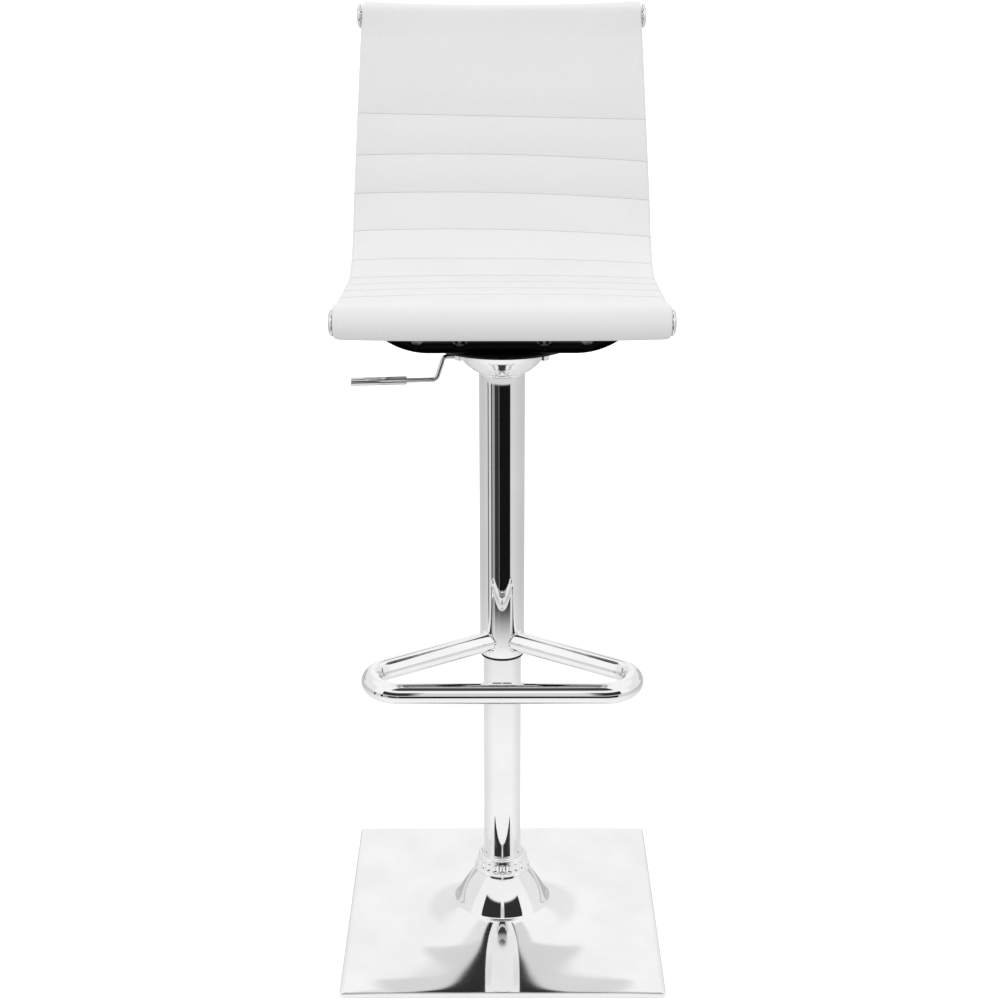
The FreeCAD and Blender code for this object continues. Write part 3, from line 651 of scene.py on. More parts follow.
def footrest():
    path, tube_r = footrest_path()
    shape = Shape()
    shape.sweep(path, round_section(tube_r, 64), (0, 0, 1), ends=False)
    outer_r = high("outer_tube").x
    width = 64
    rows = len(path)
    for row, ahead in ((0, 1), (rows - 1, -1)):
        way = (path[row + ahead] - path[row]).normalized()
        for i in range(width):
            k = row * width + i
            shape.points[k] = meets_tube(shape.points[k], way, outer_r - 0.3 * MM)
    finished(shape, "footrest_loop", "seat", "footrest_chrome", ["footrest_frame"], smooth=60)
    beads = Shape()
    for row, ahead in ((0, 1), (rows - 1, -1)):
        start = path[row]
        way = (path[row + ahead] - start).normalized()
        side = way.cross(Vector((0, 0, 1))).normalized()
        up = Vector((0, 0, 1))
        rings = []
        for i, a in enumerate(full_turn(120)):
            out = side * math.cos(a) + up * math.sin(a)
            seat = meets_tube(start + out * (tube_r + 0.2 * MM), way, outer_r + 0.2 * MM)
            ripple = 1.0 + 0.13 * math.sin(i * math.pi * 2 / 5.0) + 0.1 * noise.noise(seat * 300)
            normal = Vector((seat.x, seat.y, 0)).normalized()
            face = (out + normal * 0.8).normalized()
            bead_r = 1.9 * MM * ripple
            ring = []
            lift = (out - normal).normalized()
            for t in full_turn(10):
                ring.append(seat + face * (bead_r * 0.6 * math.cos(t)) + lift * (bead_r * math.sin(t)))
            rings.append(ring)
        beads.grid(rings, wrap=True, loop=True)
    finished(beads, "footrest_welds", "seat", "footrest_chrome", smooth=70)


# ---- seat carrier -----------------------------------------------------------------------
PAN_SHEET = 3.2 * MM
BOLT_X, BOLT_Y = 49 * MM, 64 * MM
RAIL_SPOT_FACE = 825 * MM
AXIS_R = 0.2 * MM


def bell():
    """Flared cover over the mechanism, rolled at its upper edge and slotted for the lever."""
    bottom = low("bell_cover").z
    wall, neck_r = 1.6 * MM, 28.0 * MM
    side = [(28.0, 0, 0), (28.8, 1.6, 2), (36.0, 5, 6), (45.5, 13, 14), (53.0, 24, 16), (56.5, 34, 20),
            (58.0, 42.3, 0)]
    outer = [tuple(p) for p in eased([(r * MM, bottom + z * MM) for r, z, _ in side],
                                     [bend * MM for _, _, bend in side], closed=False, steps=8)]
    inner = [(r - wall, z + 0.5 * MM) for r, z in reversed(outer)]
    inner[0] = (inner[0][0], outer[-1][1])
    inner[-1] = (neck_r - wall, bottom)
    shape = Shape()
    shape.lathe(outer + inner)
    piece = finished(shape, "mechanism_bell", "seat", "bell_chrome", ["bell_cover"])
    lever_z = middle("lever_pivot_pin").z
    slot_half, slot_low, slot_high = 4.5 * MM, lever_z - 5.5 * MM, lever_z + 8.0 * MM
    section = eased([(-slot_half, slot_low), (slot_half, slot_low), (slot_half, slot_high),
                     (-slot_half, slot_high)], 2.5 * MM)
    tool = Shape()
    tool.tube([[(x, p.x, p.y) for p in section] for x in (-75 * MM, -35 * MM)])
    cutter = made(tool, "slot_tool", "bell_chrome", 32)
    cut = piece.modifiers.new("slot", "BOOLEAN")
    cut.object = cutter
    cut.operation = "DIFFERENCE"
    bake(piece)
    bpy.data.objects.remove(cutter)


def bake(piece):
    """Applies the piece's modifiers to its mesh."""
    graph = bpy.context.evaluated_depsgraph_get()
    shown = piece.evaluated_get(graph)
    done = bpy.data.meshes.new_from_object(shown, preserve_all_data_layers=True, depsgraph=graph)
    old = piece.data
    piece.modifiers.clear()
    piece.data = done
    bpy.data.meshes.remove(old)


def seat_pan():
    """Pressed round pan under the spreaders, open below, with a rolled rim."""
    r, bottom, top = high("seat_pan").x, low("seat_pan").z, high("seat_pan").z
    plate = top - PAN_SHEET
    centre_r = 3 * MM
    corners = [(centre_r, plate), (r - 5 * MM, plate), (r - 5 * MM, bottom + 1 * MM), (r - 4.2 * MM, bottom),
               (r - 2.6 * MM, bottom + 0.2 * MM), (r, bottom + 3.4 * MM), (r, top - 0.8 * MM),
               (r - 2 * MM, top), (centre_r, top)]
    bends = [bend * MM for bend in (0, 0.8, 0.5, 0.6, 1.0, 1.2, 1.2, 0.8, 0)]
    shape = Shape()
    shape.lathe([(0.2 * MM, plate)] + eased(corners, bends) + [(0.2 * MM, top)])
    finished(shape, "round_pan", "seat", "black_gloss", ["seat_pan"])


def spreader(name, node):
    """Arched cast bar: rounded edges, scalloped over the bolts, round bosses at its ends."""
    box_low, box_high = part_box(node)
    y = (box_low.y + box_high.y) / 2
    depth, thick = box_high.y - box_low.y, 12 * MM
    flat, arc_r, arc_deg = 85 * MM, 89 * MM, 50.0
    bottom = high("seat_pan").z + 0.02 * MM
    line = [(x * MM, 0.0) for x in range(0, 84, 2)] + [(flat, 0.0)]
    for k in range(1, 41):
        a = math.radians(arc_deg * k / 40)
        line.append((flat + arc_r * math.sin(a), arc_r * (1 - math.cos(a))))
    line = [(-x, z) for x, z in reversed(line[1:])] + line
    scoops = [(BOLT_X, 9 * MM, 17 * MM), (98 * MM, 8 * MM, 17.6 * MM)]

    def thickness(x, z, up):
        """Bar thickness at a station, less in the scallops."""
        room = thick
        for sx, sr, sz in scoops:
            for hand in (-1, 1):
                dx = x + up.x * thick - hand * sx
                if abs(dx) < sr:
                    drop = sz - math.sqrt(sr * sr - dx * dx)
                    room = min(room, max((drop - z) / max(up.y, 0.3), 4 * MM))
        return room

    rows = []
    for i, (x, z) in enumerate(line):
        before = Vector(line[max(i - 1, 0)])
        after = Vector(line[min(i + 1, len(line) - 1)])
        ahead = (after - before).normalized()
        up = Vector((-ahead.y, ahead.x))
        tall = thickness(x, z, up)
        edge = min(3.6 * MM, tall * 0.45)
        corners = [(-depth / 2, 0), (depth / 2, 0), (depth / 2, tall), (-depth / 2, tall)]
        section = eased(corners, [2.2 * MM, 2.2 * MM, edge, edge], steps=5)
        rows.append([(x + up.x * v, y + u, bottom + z + up.y * v) for u, v in section])
    shape = Shape()
    shape.tube(rows)
    boss_low, boss_high, boss_r = RAIL_SPOT_FACE, box_high.z, 10.5 * MM
    boss = eased([(AXIS_R, boss_low), (10.0 * MM, boss_low), (boss_r, 826 * MM), (boss_r, boss_high - 1 * MM),
                  (9.5 * MM, boss_high), (AXIS_R, boss_high)], [0, 0.8 * MM, 0.6 * MM, 0.8 * MM, 0.8 * MM, 0])
    for hand in (-1, 1):
        place = Matrix.Translation((hand * middle("side_rail_right").x, y, 0))
        shape.lathe(boss, steps=48, axis=place)
    finished(shape, name, "seat", "black_gloss", [node], smooth=45)


def bolts():
    """Hexagon heads with washers under the pan, and their shanks up through the spreaders."""
    head_low, tip = low("pan_bolts").z, high("pan_bolts").z
    plate = high("seat_pan").z - PAN_SHEET
    shank_r, washer_r, washer_low = 4 * MM, 8.2 * MM, plate - 1.4 * MM
    washer = eased([(shank_r, washer_low), (washer_r, washer_low), (washer_r, plate), (shank_r, plate)],
                   0.4 * MM)
    shank = [(0.05 * MM, plate - 2 * MM), (shank_r, plate - 2 * MM), (shank_r, tip - 0.6 * MM), (3.4 * MM, tip),
             (0.05 * MM, tip)]
    shape = Shape()
    for x in (-BOLT_X, BOLT_X):
        for y in (-BOLT_Y, BOLT_Y):
            place = Matrix.Translation((x, y, 0))
            shape.hexagon(12 * MM, head_low, washer_low, x, y, 0.9 * MM)
            shape.lathe(washer, steps=48, axis=place)
            shape.lathe(shank, steps=32, axis=place)
    finished(shape, "pan_screws", "seat", "bolt_chrome", ["pan_bolts"], smooth=32)


# ---- frame of the seat ------------------------------------------------------------------
SEAT_SLOPE = math.radians(4.5)
SEAT_RISE = math.radians(70)
SEAT_LENGTH = 215 * MM
SEAT_BEND_R = 115 * MM
BACK_LENGTH = 222 * MM
PAD_THICK = 18 * MM
BEND_LENGTH = SEAT_BEND_R * (SEAT_RISE + SEAT_SLOPE)
LINE_LENGTH = SEAT_LENGTH + BEND_LENGTH + BACK_LENGTH


def rod_place(node):
    """Y and Z of a cross rod's axis."""
    spot = middle(node)
    return Vector((spot.y, spot.z))


FRONT_ROD = rod_place("front_cross_rod")
TOP_ROD = rod_place("top_cross_rod")
SEAT_START = FRONT_ROD + Vector((0, 20 * MM))


def seat_line(s, offset):
    """Point (Y, Z) and outward direction at length s along the pad's upper line, offset below it."""
    up = Vector((math.sin(SEAT_SLOPE), math.cos(SEAT_SLOPE)))
    along = Vector((math.cos(SEAT_SLOPE), -math.sin(SEAT_SLOPE)))
    start = SEAT_START - up * offset
    if s <= SEAT_LENGTH:
        return start + along * s, up
    centre = SEAT_START + along * SEAT_LENGTH + up * SEAT_BEND_R
    angle = min(-SEAT_SLOPE + (s - SEAT_LENGTH) / SEAT_BEND_R, SEAT_RISE)
    down = Vector((math.sin(angle), -math.cos(angle)))
    hip = centre + down * (SEAT_BEND_R + offset)
    if s <= SEAT_LENGTH + BEND_LENGTH:
        return hip, -down
    way = Vector((math.cos(SEAT_RISE), math.sin(SEAT_RISE)))
    return hip + way * (s - SEAT_LENGTH - BEND_LENGTH), -down


def side_rails():
    """Bent flat bars with rounded edges, ending against the cross rods."""
    end_gap, rod_room = 2 * MM, 9.4 * MM
    for word in ("left", "right"):
        node = f"side_rail_{word}"
        box_low, box_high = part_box(node)
        x = (box_low.x + box_high.x) / 2
        width, tall = box_high.x - box_low.x, 16 * MM
        path = []
        for k in range(121):
            p, _ = seat_line(end_gap + (LINE_LENGTH - 4 * MM) * k / 120, PAD_THICK + 2 * MM + tall / 2)
            if min((p - FRONT_ROD).length, (p - TOP_ROD).length) > rod_room:
                path.append(Vector((x, p.x, p.y)))
        shape = Shape()
        shape.sweep(path, bar_section(width, tall, 2.5 * MM), (1, 0, 0))
        finished(shape, f"bent_rail_{word}", "seat", "rail_chrome", [node])


def caps():
    """Domed chrome caps with a countersunk socket screw each."""
    profile = [(5.0, 4.7, 0.3), (6.0, 5.0, 0.8), (9.5, 4.55, 4), (12.4, 3.6, 3), (14.3, 2.2, 1.5),
               (15.0, 1.0, 0.5), (15.0, 0.3, 0.2), (14.6, 0.0, 0.2), (3.2, 0.0, 0), (3.2, 2.6, 0.2)]
    head = [(0.1, 2.0), (1.95, 2.0), (2.0, 4.3), (2.3, 4.6), (4.4, 4.75), (4.9, 4.4), (3.05, 2.5), (3.05, -3.0),
            (0.1, -3.0)]
    bends = [bend * MM for _, _, bend in profile]
    screws = Shape()
    for name, hand in (("front_cap_left", -1), ("front_cap_right", 1),
                       ("top_cap_left", -1), ("top_cap_right", 1)):
        box_low, box_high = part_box(name)
        centre = (box_low + box_high) / 2
        scale = (box_high.z - box_low.z) / 2 / 15.0
        thick = box_high.x - box_low.x
        inner_x = box_low.x if hand > 0 else box_high.x
        turn = Matrix.Rotation(hand * math.pi / 2, 4, "Y")
        place = Matrix.Translation((inner_x, centre.y, centre.z)) @ turn
        shape = Shape()
        outline = eased([(r * scale, z * thick / 5.0) for r, z, _ in profile], bends, steps=5)
        shape.lathe(outline, steps=96, axis=place)
        finished(shape, name.replace("cap", "end_cap"), "seat", "cap_chrome", [name], smooth=50)
        rows = []
        for r, z in head:
            in_socket = 1.5 < r < 2.1
            row = []
            for a in full_turn(60):
                reach = r / math.cos(off_flat(a)) if in_socket else r
                row.append(place @ Vector((reach * MM * math.cos(a), reach * MM * math.sin(a), z * MM)))
            rows.append(row)
        screws.grid(rows, wrap=True, loop=True)
    finished(screws, "end_cap_screws", "seat", "bolt_chrome", ["cap_screws"], smooth=35)


# ---- lever ------------------------------------------------------------------------------
def lever():
    """Wire lever bent down and out under the seat, with its hub, its tip over the valve and its grip."""
    pivot = middle("lever_pivot_pin")
    centre = Vector((pivot.x, 0, pivot.z))
    knee, elbow, end = (-70 * MM, 0, pivot.z), (-79.5 * MM, 0, 738.9 * MM), (-150 * MM, 0, 737.2 * MM)
    rod, across = round_section(3.0 * MM, 28), (0, 1, 0)
    shape = Shape()
    shape.sweep(eased([centre, knee, elbow, end], 7 * MM, closed=False, steps=10), rod, across)
    shape.sweep([centre, Vector((1.2 * MM, 0, pivot.z))], rod, across)
    tip = Vector((0, 0, high("valve_pin").z + 0.4 * MM))
    shape.sweep([Vector((0, 0, pivot.z)), tip + Vector((0, 0, 1 * MM)), tip], rod, across)
    bore_r, hub_r, hub_half = 2.1 * MM, 5.0 * MM, 5.5 * MM
    hub = eased([(bore_r, -hub_half), (hub_r, -hub_half), (hub_r, hub_half), (bore_r, hub_half)], 0.6 * MM)
    shape.lathe(hub, steps=48, axis=Matrix.Translation(centre) @ Matrix.Rotation(-math.pi / 2, 4, "X"))
    finished(shape, "lift_lever", "lever", "lever_chrome", ["lever_rod"])
    way = (Vector(end) - Vector(elbow)).normalized()
    start = Vector(elbow) + way * ((-115 * MM - Vector(elbow).x) / way.x)
    length, grip_r, core = 68 * MM, 5.3 * MM, 0.1 * MM
    outline = eased([(core, 0.0), (grip_r, 0.0), (grip_r, length), (core, length)],
                    [0, 1.4 * MM, 2.0 * MM, 0], steps=8)
    grip = Shape()
    aim = Matrix.Translation(start) @ way.to_track_quat("Z", "Y").to_matrix().to_4x4()
    grip.lathe(outline, steps=64, axis=aim)
    finished(grip, "lever_handle", "lever", "lever_chrome", ["lever_grip"])


# ---- pad --------------------------------------------------------------------------------
SEAM_FIRST = 35 * MM
SEAM_PITCH = 47.4 * MM
SEAMS = 10
PAD_EDGE_R = 5.5 * MM


def smooth_step(x, a, b):
    t = min(max((x - a) / (b - a), 0.0), 1.0)
    return t * t * (3 - 2 * t)


def smooth_min(a, b, k):
    h = max(k - abs(a - b), 0.0) / k
    return min(a, b) - h * h * k / 4


def roll_radii(share):
    """Radii of the pad's front and top rolls, by the share of the way out from its middle."""
    return (20.0 - 1.6 * share**5) * MM, (13.4 + 4.6 * share**2) * MM


def pad_field(p, front_r, top_r):
    """Signed distance from a point (Y, Z) to the skin of the pad's side profile."""
    half = PAD_THICK / 2
    up = Vector((math.sin(SEAT_SLOPE), math.cos(SEAT_SLOPE)))
    along = Vector((math.cos(SEAT_SLOPE), -math.sin(SEAT_SLOPE)))
    start = SEAT_START - up * half
    t = min(max((p - start).dot(along), 0.0), SEAT_LENGTH)
    seat = (p - start - along * t).length
    centre = SEAT_START + along * SEAT_LENGTH + up * SEAT_BEND_R
    arm = p - centre
    angle = math.atan2(arm.x, -arm.y)
    bend = abs(arm.length - SEAT_BEND_R - half) if -SEAT_SLOPE <= angle <= SEAT_RISE else 1.0
    hip = centre + Vector((math.sin(SEAT_RISE), -math.cos(SEAT_RISE))) * (SEAT_BEND_R + half)
    way = Vector((math.cos(SEAT_RISE), math.sin(SEAT_RISE)))
    t = min(max((p - hip).dot(way), 0.0), BACK_LENGTH)
    back = (p - hip - way * t).length
    slab = min(seat, bend, back) - half
    d = smooth_min(slab, (p - FRONT_ROD).length - front_r, 10 * MM)
    return smooth_min(d, (p - TOP_ROD).length - top_r, 9 * MM)


def skin_distance(origin, way, front_r, top_r):
    """How far the pad's skin lies from a point inside it, in one direction."""
    near, far = 0.0, 45 * MM
    for _ in range(22):
        mid = (near + far) / 2
        if pad_field(origin + way * mid, front_r, top_r) < 0:
            near = mid
        else:
            far = mid
    return near


def pad_rows():
    """Rows of the pad's faces between its rolls, as (length along the seat line, whether a seam lies there)."""
    channel = [0.0, 1.1, 2.6, 5.5, 10.5, 17.0, 23.7, 30.4, 36.9, 41.9, 44.8, 46.3]
    lengths = [(v * MM, False) for v in (7, 13, 19, 24.5, 29.5, 32.4, 33.9)]
    for i in range(SEAMS - 1):
        lengths += [(SEAM_FIRST + i * SEAM_PITCH + v * MM, v == 0) for v in channel]
    last = SEAM_FIRST + (SEAMS - 1) * SEAM_PITCH
    above = (0, 1.1, 2.6, 5.5, 10.5, 17, 25, 34, 43, 52, 61, 70, 79, 88, 96, 103)
    return lengths + [(last + v * MM, v == 0) for v in above]


def channel_height(s):
    """How far the skin stands above a seam: full in the middle of a channel, pinched at each seam."""
    k = (s - SEAM_FIRST) / SEAM_PITCH
    last = SEAM_FIRST + (SEAMS - 1) * SEAM_PITCH
    if s < SEAM_FIRST:
        gap, width = SEAM_FIRST - s, 28 * MM
    elif s > last:
        gap, width = s - last, 34 * MM
    else:
        share = (k - math.floor(k)) * SEAM_PITCH
        gap, width = min(share, SEAM_PITCH - share), SEAM_PITCH / 2
    t = min(gap / width, 1.0)
    return 1 - (1 - t) ** 2.6


def seam_shift(s, x, half):
    """Seams droop at their ends and run slightly off square, as sewn; the pad's ends stay straight."""
    hold = smooth_step(s, 8 * MM, 60 * MM) * (1 - smooth_step(s, 500 * MM, 560 * MM))
    t = x / half
    bow = 5.0 * MM * smooth_step(s, 230 * MM, 330 * MM) * (1 - smooth_step(s, 425 * MM, 465 * MM))
    return -hold * (bow * t * t + 4.2 * MM * t * smooth_step(s, 150 * MM, 300 * MM))


def pad_grid():
    """Two faces of the closed pad as grids of (point, seam weight), and the rows where they meet."""
    reach = high("seat_pad").x
    flat = reach - PAD_EDGE_R
    side = [(flat + PAD_EDGE_R * math.sin(math.radians(a)), PAD_EDGE_R * (1 - math.cos(math.radians(a))))
            for a in (30, 55, 75, 90)]
    columns = [(-x, tuck) for x, tuck in reversed(side)]
    columns += [(flat * (-1 + 2 * k / 56), 0.0) for k in range(57)] + side
    narrow_low, narrow_high = 920 * MM, high("seat_pad").z
    narrow = 11.0 * MM

    def half_width(z):
        """The back narrows a little towards its top."""
        return reach - narrow * max(z - narrow_low, 0.0) / (narrow_high - narrow_low)

    faces = {}
    slab_rows = pad_rows()
    tip_front, tip_top = math.radians(205), math.radians(62)
    for face, sign in (("front", 1), ("back", -1)):
        rows = []
        stations = [("front_roll", k / 10) for k in range(1, 10)]
        stations += [("slab", s) for s in slab_rows]
        stations += [("top_roll", k / 10) for k in range(9, 0, -1)]
        for kind, value in stations:
            row = []
            for x, tuck in columns:
                share = abs(x) / reach
                front_r, top_r = roll_radii(share)
                seam = 0.0
                if kind == "slab":
                    s, is_seam = value
                    s = s + seam_shift(s, x, reach)
                    point, out = seat_line(s, PAD_THICK / 2)
                    way = out * sign
                    t = skin_distance(point, way, front_r, top_r)
                    plump = channel_height(value[0])
                    firm = smooth_step(value[0], 4 * MM, 30 * MM)
                    firm *= 1 - smooth_step(value[0], 540 * MM, 566 * MM)
                    relief, droop = (2.1 * MM, 4.2 * MM) if sign > 0 else (1.4 * MM, 0.0)
                    sag = droop * share**2.6 * (1 - smooth_step(s, 260 * MM, 420 * MM))
                    sag *= smooth_step(s, 2 * MM, 30 * MM)
                    t += relief * (plump - 0.9) * firm * (1 - 0.35 * share**6) - sag
                    seam = 1.0 if is_seam else 0.0
                else:
                    rod, tip = (FRONT_ROD, tip_front) if kind == "front_roll" else (TOP_ROD, tip_top)
                    if kind == "front_roll":
                        join = math.radians(84 if sign > 0 else 344)
                    else:
                        join = math.radians(156 if sign > 0 else -28)
                    angle = tip + (join - tip) * value
                    way = Vector((math.cos(angle), math.sin(angle)))
                    point = rod
                    t = skin_distance(point, way, front_r, top_r)
                t = max(t - tuck, 1.5 * MM)
                spot = point + way * t
                wide = half_width(spot.y) / reach
                row.append((Vector((x * wide, spot.x, spot.y)), seam))
            rows.append(row)
        faces[face] = rows
    tips = []
    for rod, tip in ((FRONT_ROD, tip_front), (TOP_ROD, tip_top)):
        row = []
        for x, tuck in columns:
            share = abs(x) / reach
            front_r, top_r = roll_radii(share)
            way = Vector((math.cos(tip), math.sin(tip)))
            t = skin_distance(rod, way, front_r, top_r) - tuck
            spot = rod + way * t
            row.append((Vector((x * half_width(spot.y) / reach, spot.x, spot.y)), 0.0))
        tips.append(row)
    return faces, tips


def seat_pad():
    """Closed sewn pad: rolled over both cross rods, ten stitched seams on each face."""
    faces, tips = pad_grid()
    points, pins, quads = [], [], []

    def lay(row):
        first = len(points)
        for p, seam in row:
            points.append(p)
            pins.append(seam)
        return list(range(first, first + len(row)))

    start, end = lay(tips[0]), lay(tips[1])
    sheets = {}
    for face in ("front", "back"):
        sheets[face] = [start] + [lay(row) for row in faces[face]] + [end]
        for a, b in zip(sheets[face], sheets[face][1:]):
            for i in range(len(a) - 1):
                quads.append((a[i], a[i + 1], b[i + 1], b[i]))
    for column in (0, -1):
        walls = []
        for f, g in zip(sheets["front"], sheets["back"]):
            a, b = f[column], g[column]
            if a == b:
                walls.append([a, a, a, a])
                continue
            between = []
            for t in (1 / 3, 2 / 3):
                p = points[a].lerp(points[b], t)
                p.x += math.copysign(0.5 * MM, p.x)
                points.append(p)
                pins.append(0.0)
                between.append(len(points) - 1)
            walls.append([a] + between + [b])
        for u, v in zip(walls, walls[1:]):
            for i in range(3):
                corner = [u[i], u[i + 1], v[i + 1], v[i]]
                corner = [c for k, c in enumerate(corner) if c not in corner[:k]]
                if len(corner) > 2:
                    quads.append(tuple(corner))
    mesh = bpy.data.meshes.new("channelled_pad")
    mesh.from_pydata([tuple(p) for p in points], [], quads)
    b = bmesh.new()
    b.from_mesh(mesh)
    bmesh.ops.recalc_face_normals(b, faces=b.faces)
    b.to_mesh(mesh)
    b.free()
    pad = bpy.data.objects.new("channelled_pad", mesh)
    bpy.context.scene.collection.objects.link(pad)
    swell(pad, pins, cap=1.3 * MM)
    crease = pad.data.attributes.new("crease_vert", "FLOAT", "POINT")
    crease.data.foreach_set("value", [0.45 * p for p in pins])
    rounder = pad.modifiers.new("rounder", "SUBSURF")
    rounder.levels = rounder.render_levels = 1
    bake(pad)
    pad.data.shade_smooth()
    pad.data.materials.append(paint["pad_leather"])
    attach(pad, "seat")
    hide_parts("seat_pad")
    stitches(pad, faces)


def swell(pad, pins, cap):
    """Cloth simulation: the channels fill between the held seams, each point moving at most by cap."""
    frames = 12
    rest = [v.co.copy() for v in pad.data.vertices]
    held = pad.vertex_groups.new(name="held")
    top = TOP_ROD.y - 6 * MM
    for i, p in enumerate(rest):
        near_roll = (Vector((p.y, p.z)) - FRONT_ROD).length < 21 * MM or p.z > top
        hold = 1.0 if pins[i] > 0.5 or near_roll else 0.0
        if abs(p.x) > high("seat_pad").x - 16 * MM:
            hold = max(hold, 0.9)
        held.add([i], hold, "REPLACE")
    cloth = pad.modifiers.new("swell", "CLOTH")
    cloth.settings.use_pressure = True
    cloth.settings.uniform_pressure_force = 4.0
    cloth.settings.vertex_group_mass = "held"
    cloth.settings.effector_weights.gravity = 0.0
    cloth.settings.mass = 0.3
    cloth.settings.tension_stiffness = 25
    cloth.settings.compression_stiffness = 25
    cloth.settings.bending_stiffness = 0.8
    cloth.point_cache.frame_start = 1
    cloth.point_cache.frame_end = frames
    for step in range(1, frames + 1):
        bpy.context.scene.frame_set(step)
    graph = bpy.context.evaluated_depsgraph_get()
    moved = [v.co.copy() for v in pad.evaluated_get(graph).data.vertices]
    pad.modifiers.clear()
    bpy.context.scene.frame_set(1)
    pad.vertex_groups.clear()
    for v, a, b in zip(pad.data.vertices, rest, moved):
        step = b - a
        if step.length > cap:
            step *= cap / step.length
        v.co = a + step


def stitches(pad, faces):
    """Rows of thread lying in the seams of both faces."""
    tree = BVHTree.FromPolygons([v.co for v in pad.data.vertices], [p.vertices for p in pad.data.polygons])
    shape = Shape()
    pitch, length, thread = 3.9 * MM, 2.5 * MM, 0.34 * MM
    for face in ("front", "back"):
        for row in faces[face]:
            if row[len(row) // 2][1] < 0.5:
                continue
            line = [p for p, _ in row]
            run = 0.0
            marks = []
            for a, b in zip(line, line[1:]):
                step = (b - a).length
                while run < step:
                    marks.append((a.lerp(b, run / step), (b - a).normalized()))
                    run += pitch
                run -= step
            for spot, way in marks:
                ends = []
                for side in (-0.5, 0.5):
                    hit, normal, _, _ = tree.find_nearest(spot + way * (length * side))
                    ends.append(hit + normal * (0.02 * MM))
                shape.capsule(ends, thread)
    finished(shape, "pad_stitching", "seat", "pad_leather", smooth=60, material="sewing_thread")


# ---- nodes that keep their CAD mesh --------------------------------------------------------
def paint_frame():
    """Gives every node that still shows its slot's material and smooth shading by angle."""
    slots = {entry["node"]: entry["material_slot"] for entry in frame["record"]["subparts"]}
    for name, node in frame["nodes"].items():
        if node.hide_render:
            continue
        node.data.materials.clear()
        node.data.materials.append(paint[slots[name]])
        node.data.shade_smooth()
        node.data.set_sharp_from_angle(angle=math.radians(30))


# ---- studio -----------------------------------------------------------------------------
def painted_dark_reflection(net, azimuth):
    """Painted reflection of the studio's dark side on the floor, by direction round the stool: 0 lit, 1 black.
    """
    total = 0.0
    for start, end, soft, share in (
        (-15.0, 42.0, 1.8, 0.99), (-38.0, -15.0, 2.0, 0.95), (-48.0, -38.0, 1.0, 0.5),
        (-56.5, -49.5, 1.0, 0.98), (-76.5, -70.5, 1.0, 0.85),
    ):
        band = net.between(azimuth, math.radians(start), math.radians(end), math.radians(soft))
        total = net.math("MAXIMUM", total, net.math("MULTIPLY", band, share))
    return total


def studio_azimuth(net, x, y):
    """Angle round the stool from straight in front, positive to the right."""
    return net.math("ARCTAN2", x, net.math("MULTIPLY", y, -1.0))


def make_world():
    """Soft white studio; only mirrors see its dark panels, a painted reflection set by direction and height."""
    world = bpy.data.worlds.new("studio")
    world.use_nodes = True
    tree = world.node_tree
    tree.nodes.clear()
    net = Net(tree)
    way = net.add("SeparateXYZ", {"Vector": net.add("TexCoord").outputs["Generated"]})
    x, y, z = (way.outputs[k] for k in "XYZ")
    azimuth = studio_azimuth(net, x, y)
    height = net.math("ARCSINE", z)
    rear_azimuth = net.math("ARCTAN2", x, y)

    def patch(angle, start, end, soft, low_end, high_end, blur):
        across = net.between(angle, math.radians(start), math.radians(end), math.radians(soft))
        upright = net.between(height, math.radians(low_end), math.radians(high_end), math.radians(blur))
        return net.math("MULTIPLY", across, upright)

    # Painted reflection: these dark patches are seen by glossy rays only; diffuse rays see the plain fill
    # below.
    dark = 0.0
    lift = net.math("MAXIMUM", net.math("SUBTRACT", height, math.radians(34)), 0.0)
    reach = net.math("ADD", math.radians(1.4), net.math("MULTIPLY", net.math("MULTIPLY", lift, lift), 0.72))
    narrow = net.math("MULTIPLY", net.math("DIVIDE", rear_azimuth, reach), math.radians(1.0))
    for share, area in (
        (0.12, patch(rear_azimuth, 12, 100, 2.0, -6, 40, 3.0)),
        (0.12, patch(rear_azimuth, -100, -12, 2.0, -6, 40, 3.0)),
        (0.97, patch(azimuth, -52, -4, 1.0, -7, 30, 1.5)),
        (0.97, patch(azimuth, 4.5, 50, 1.0, -7, 30, 1.5)),
        (0.30, patch(azimuth, -5, 5, 1.0, -5, 26, 2.0)),
        (0.95, patch(azimuth, -40, 40, 5.0, 52, 84, 4.0)),
        (0.97, patch(narrow, -1.25, 0.95, 0.12, 31, 66, 1.5)),
        (0.14, patch(narrow, -2.4, 0.5, 0.3, 31, 62, 1.5)),
        (0.26, patch(narrow, -0.5, 1.9, 0.2, 31, 62, 1.5)),
        (0.25, patch(rear_azimuth, -4.9, 5.2, 0.4, 36.4, 47, 0.5)),
        (0.42, patch(rear_azimuth, 18, 50, 3.0, -2, 16, 3.0)),
        (0.42, patch(rear_azimuth, -50, -18, 3.0, -2, 16, 3.0)),
    ):
        dark = net.math("MAXIMUM", dark, net.math("MULTIPLY", area, share))
    seen = net.math("SUBTRACT", 1.0, dark)
    glossy = net.add("Background", {"Color": grey(1.0), "Strength": seen})
    fill = net.add("Background", {"Color": grey(1.0), "Strength": net.spread(z, -0.7, 0.95, 0.76, 1.20)})
    plain = net.add("Background", {"Color": grey(1.0), "Strength": 1.0})
    path = net.add("LightPath")
    mixed = net.add("MixShader", {0: path.outputs["Is Glossy Ray"], 1: fill.outputs[0], 2: glossy.outputs[0]})
    shown = net.add("MixShader", {0: path.outputs["Is Camera Ray"], 1: mixed.outputs[0], 2: plain.outputs[0]})
    net.add("OutputWorld", {"Surface": shown.outputs[0]})
    bpy.context.scene.world = world
    bpy.context.scene.view_settings.view_transform = "Standard"


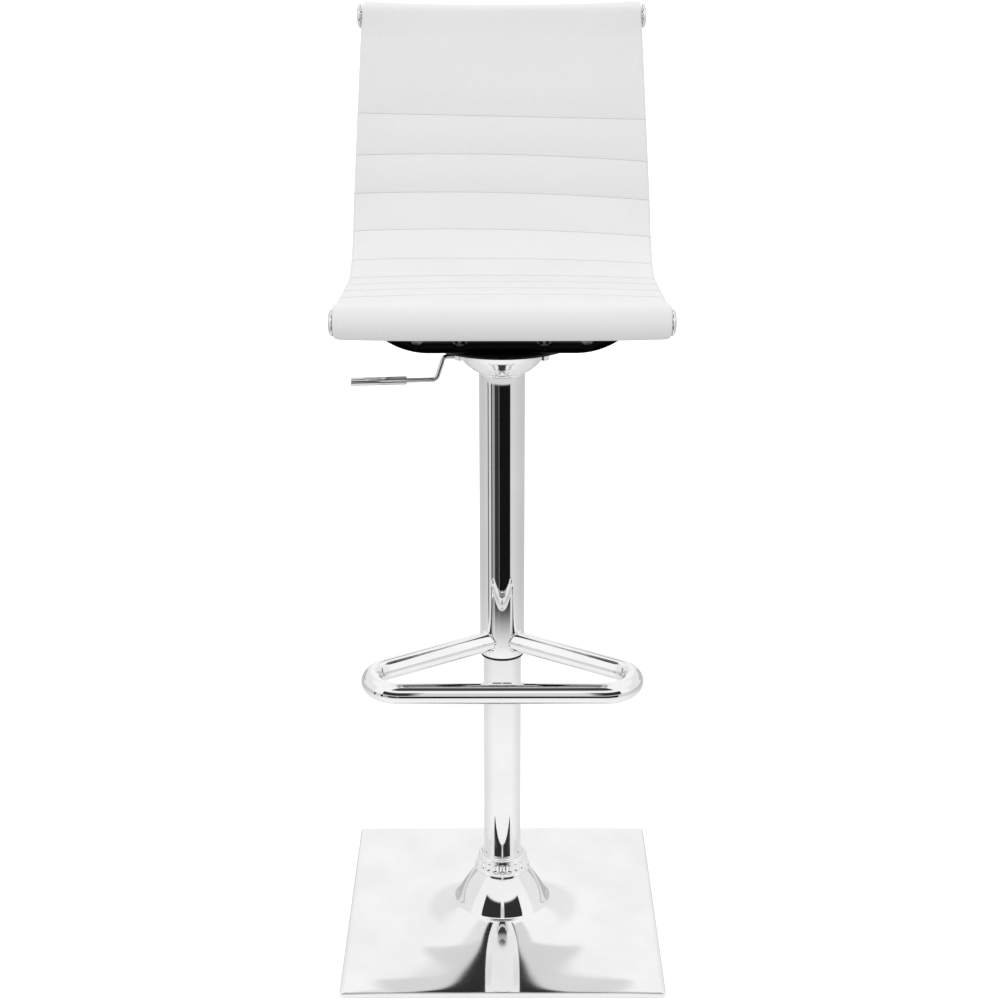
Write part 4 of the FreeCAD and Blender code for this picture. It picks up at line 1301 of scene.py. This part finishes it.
def make_floor():
    """Pale sheet the stool stands on; mirrors see a painted reflection on it, dimmer with distance and darkened
    in bands by direction.
    """
    mesh = bpy.data.meshes.new("floor")
    half = 30.0
    corners = [(-half, -half, 0), (half, -half, 0), (half, half, 0), (-half, half, 0)]
    mesh.from_pydata(corners, [], [(0, 1, 2, 3)])
    floor = bpy.data.objects.new("floor", mesh)
    bpy.context.scene.collection.objects.link(floor)
    material, net, principled = new_material("pale_floor")
    where = net.add("NewGeometry").outputs["Position"]
    spot = net.add("SeparateXYZ", {"Vector": where})
    azimuth = studio_azimuth(net, spot.outputs["X"], spot.outputs["Y"])
    flat = net.add("VectorMath", {0: where, 1: (1, 1, 0)}, operation="MULTIPLY")
    distance = net.add("VectorMath", {0: flat.outputs[0]}, operation="LENGTH").outputs["Value"]
    # Painted reflection: glossy rays see the floor glow dimmer with distance and towards the sides, and
    # darkened in bands round the stool.
    past = net.math("SUBTRACT", net.spread(distance, 0.88, 1.12, smooth=True),
                    net.spread(distance, 3.4, 4.3, smooth=True))
    lit = net.math("MULTIPLY", net.spread(distance, 0.5, 1.3, 0.97, 0.72, smooth=True),
                   net.spread(net.math("ABSOLUTE", azimuth), math.radians(55), math.radians(110), 1.0, 0.84))
    dark = net.math("MULTIPLY", painted_dark_reflection(net, azimuth), past)
    shine = net.math("MULTIPLY", lit, net.math("SUBTRACT", 1.0, dark))
    mirrored = net.add("Emission", {"Color": grey(1.0), "Strength": shine})
    mottle = net.speckle(where, 3.0, 2.0)
    net.set(principled.inputs["Base Color"], net.tint(mottle, grey(0.93), grey(0.95)))
    principled.inputs["Roughness"].default_value = 0.9
    principled.inputs["Emission Color"].default_value = grey(1.0)
    principled.inputs["Emission Strength"].default_value = 0.34
    path = net.add("LightPath")
    bounced = net.add("Emission", {"Color": grey(1.0), "Strength": 0.78})
    seen, other = path.outputs["Is Glossy Ray"], path.outputs["Is Diffuse Ray"]
    plain = net.add("MixShader", {0: other, 1: principled.outputs[0], 2: bounced.outputs[0]})
    shown = net.add("MixShader", {0: seen, 1: plain.outputs[0], 2: mirrored.outputs[0]})
    net.set(material.node_tree.nodes["Material Output"].inputs["Surface"], shown.outputs[0])
    mesh.materials.append(material)


def make_camera():
    """Long lens in front of the stool, a little above its back, looking down at its middle."""
    eye = bpy.data.cameras.new("camera")
    eye.sensor_width = 36.0
    eye.lens = 66.9
    camera = bpy.data.objects.new("camera", eye)
    bpy.context.scene.collection.objects.link(camera)
    camera.location = (-0.0026, -2.162, 1.3655)
    aim = Matrix.Rotation(math.radians(90.0 - 19.87), 4, "X") @ Matrix.Rotation(math.radians(-0.06), 4, "Z")
    camera.rotation_euler = aim.to_euler()
    bpy.context.scene.camera = camera


base_cover()
floor_pad()
collar()
column()
footrest()
bell()
seat_pan()
spreader("front_bow", "spreader_front")
spreader("rear_bow", "spreader_rear")
bolts()
side_rails()
caps()
lever()
seat_pad()
paint_frame()
make_world()
make_floor()
make_camera()
bpy.context.view_layer.update()
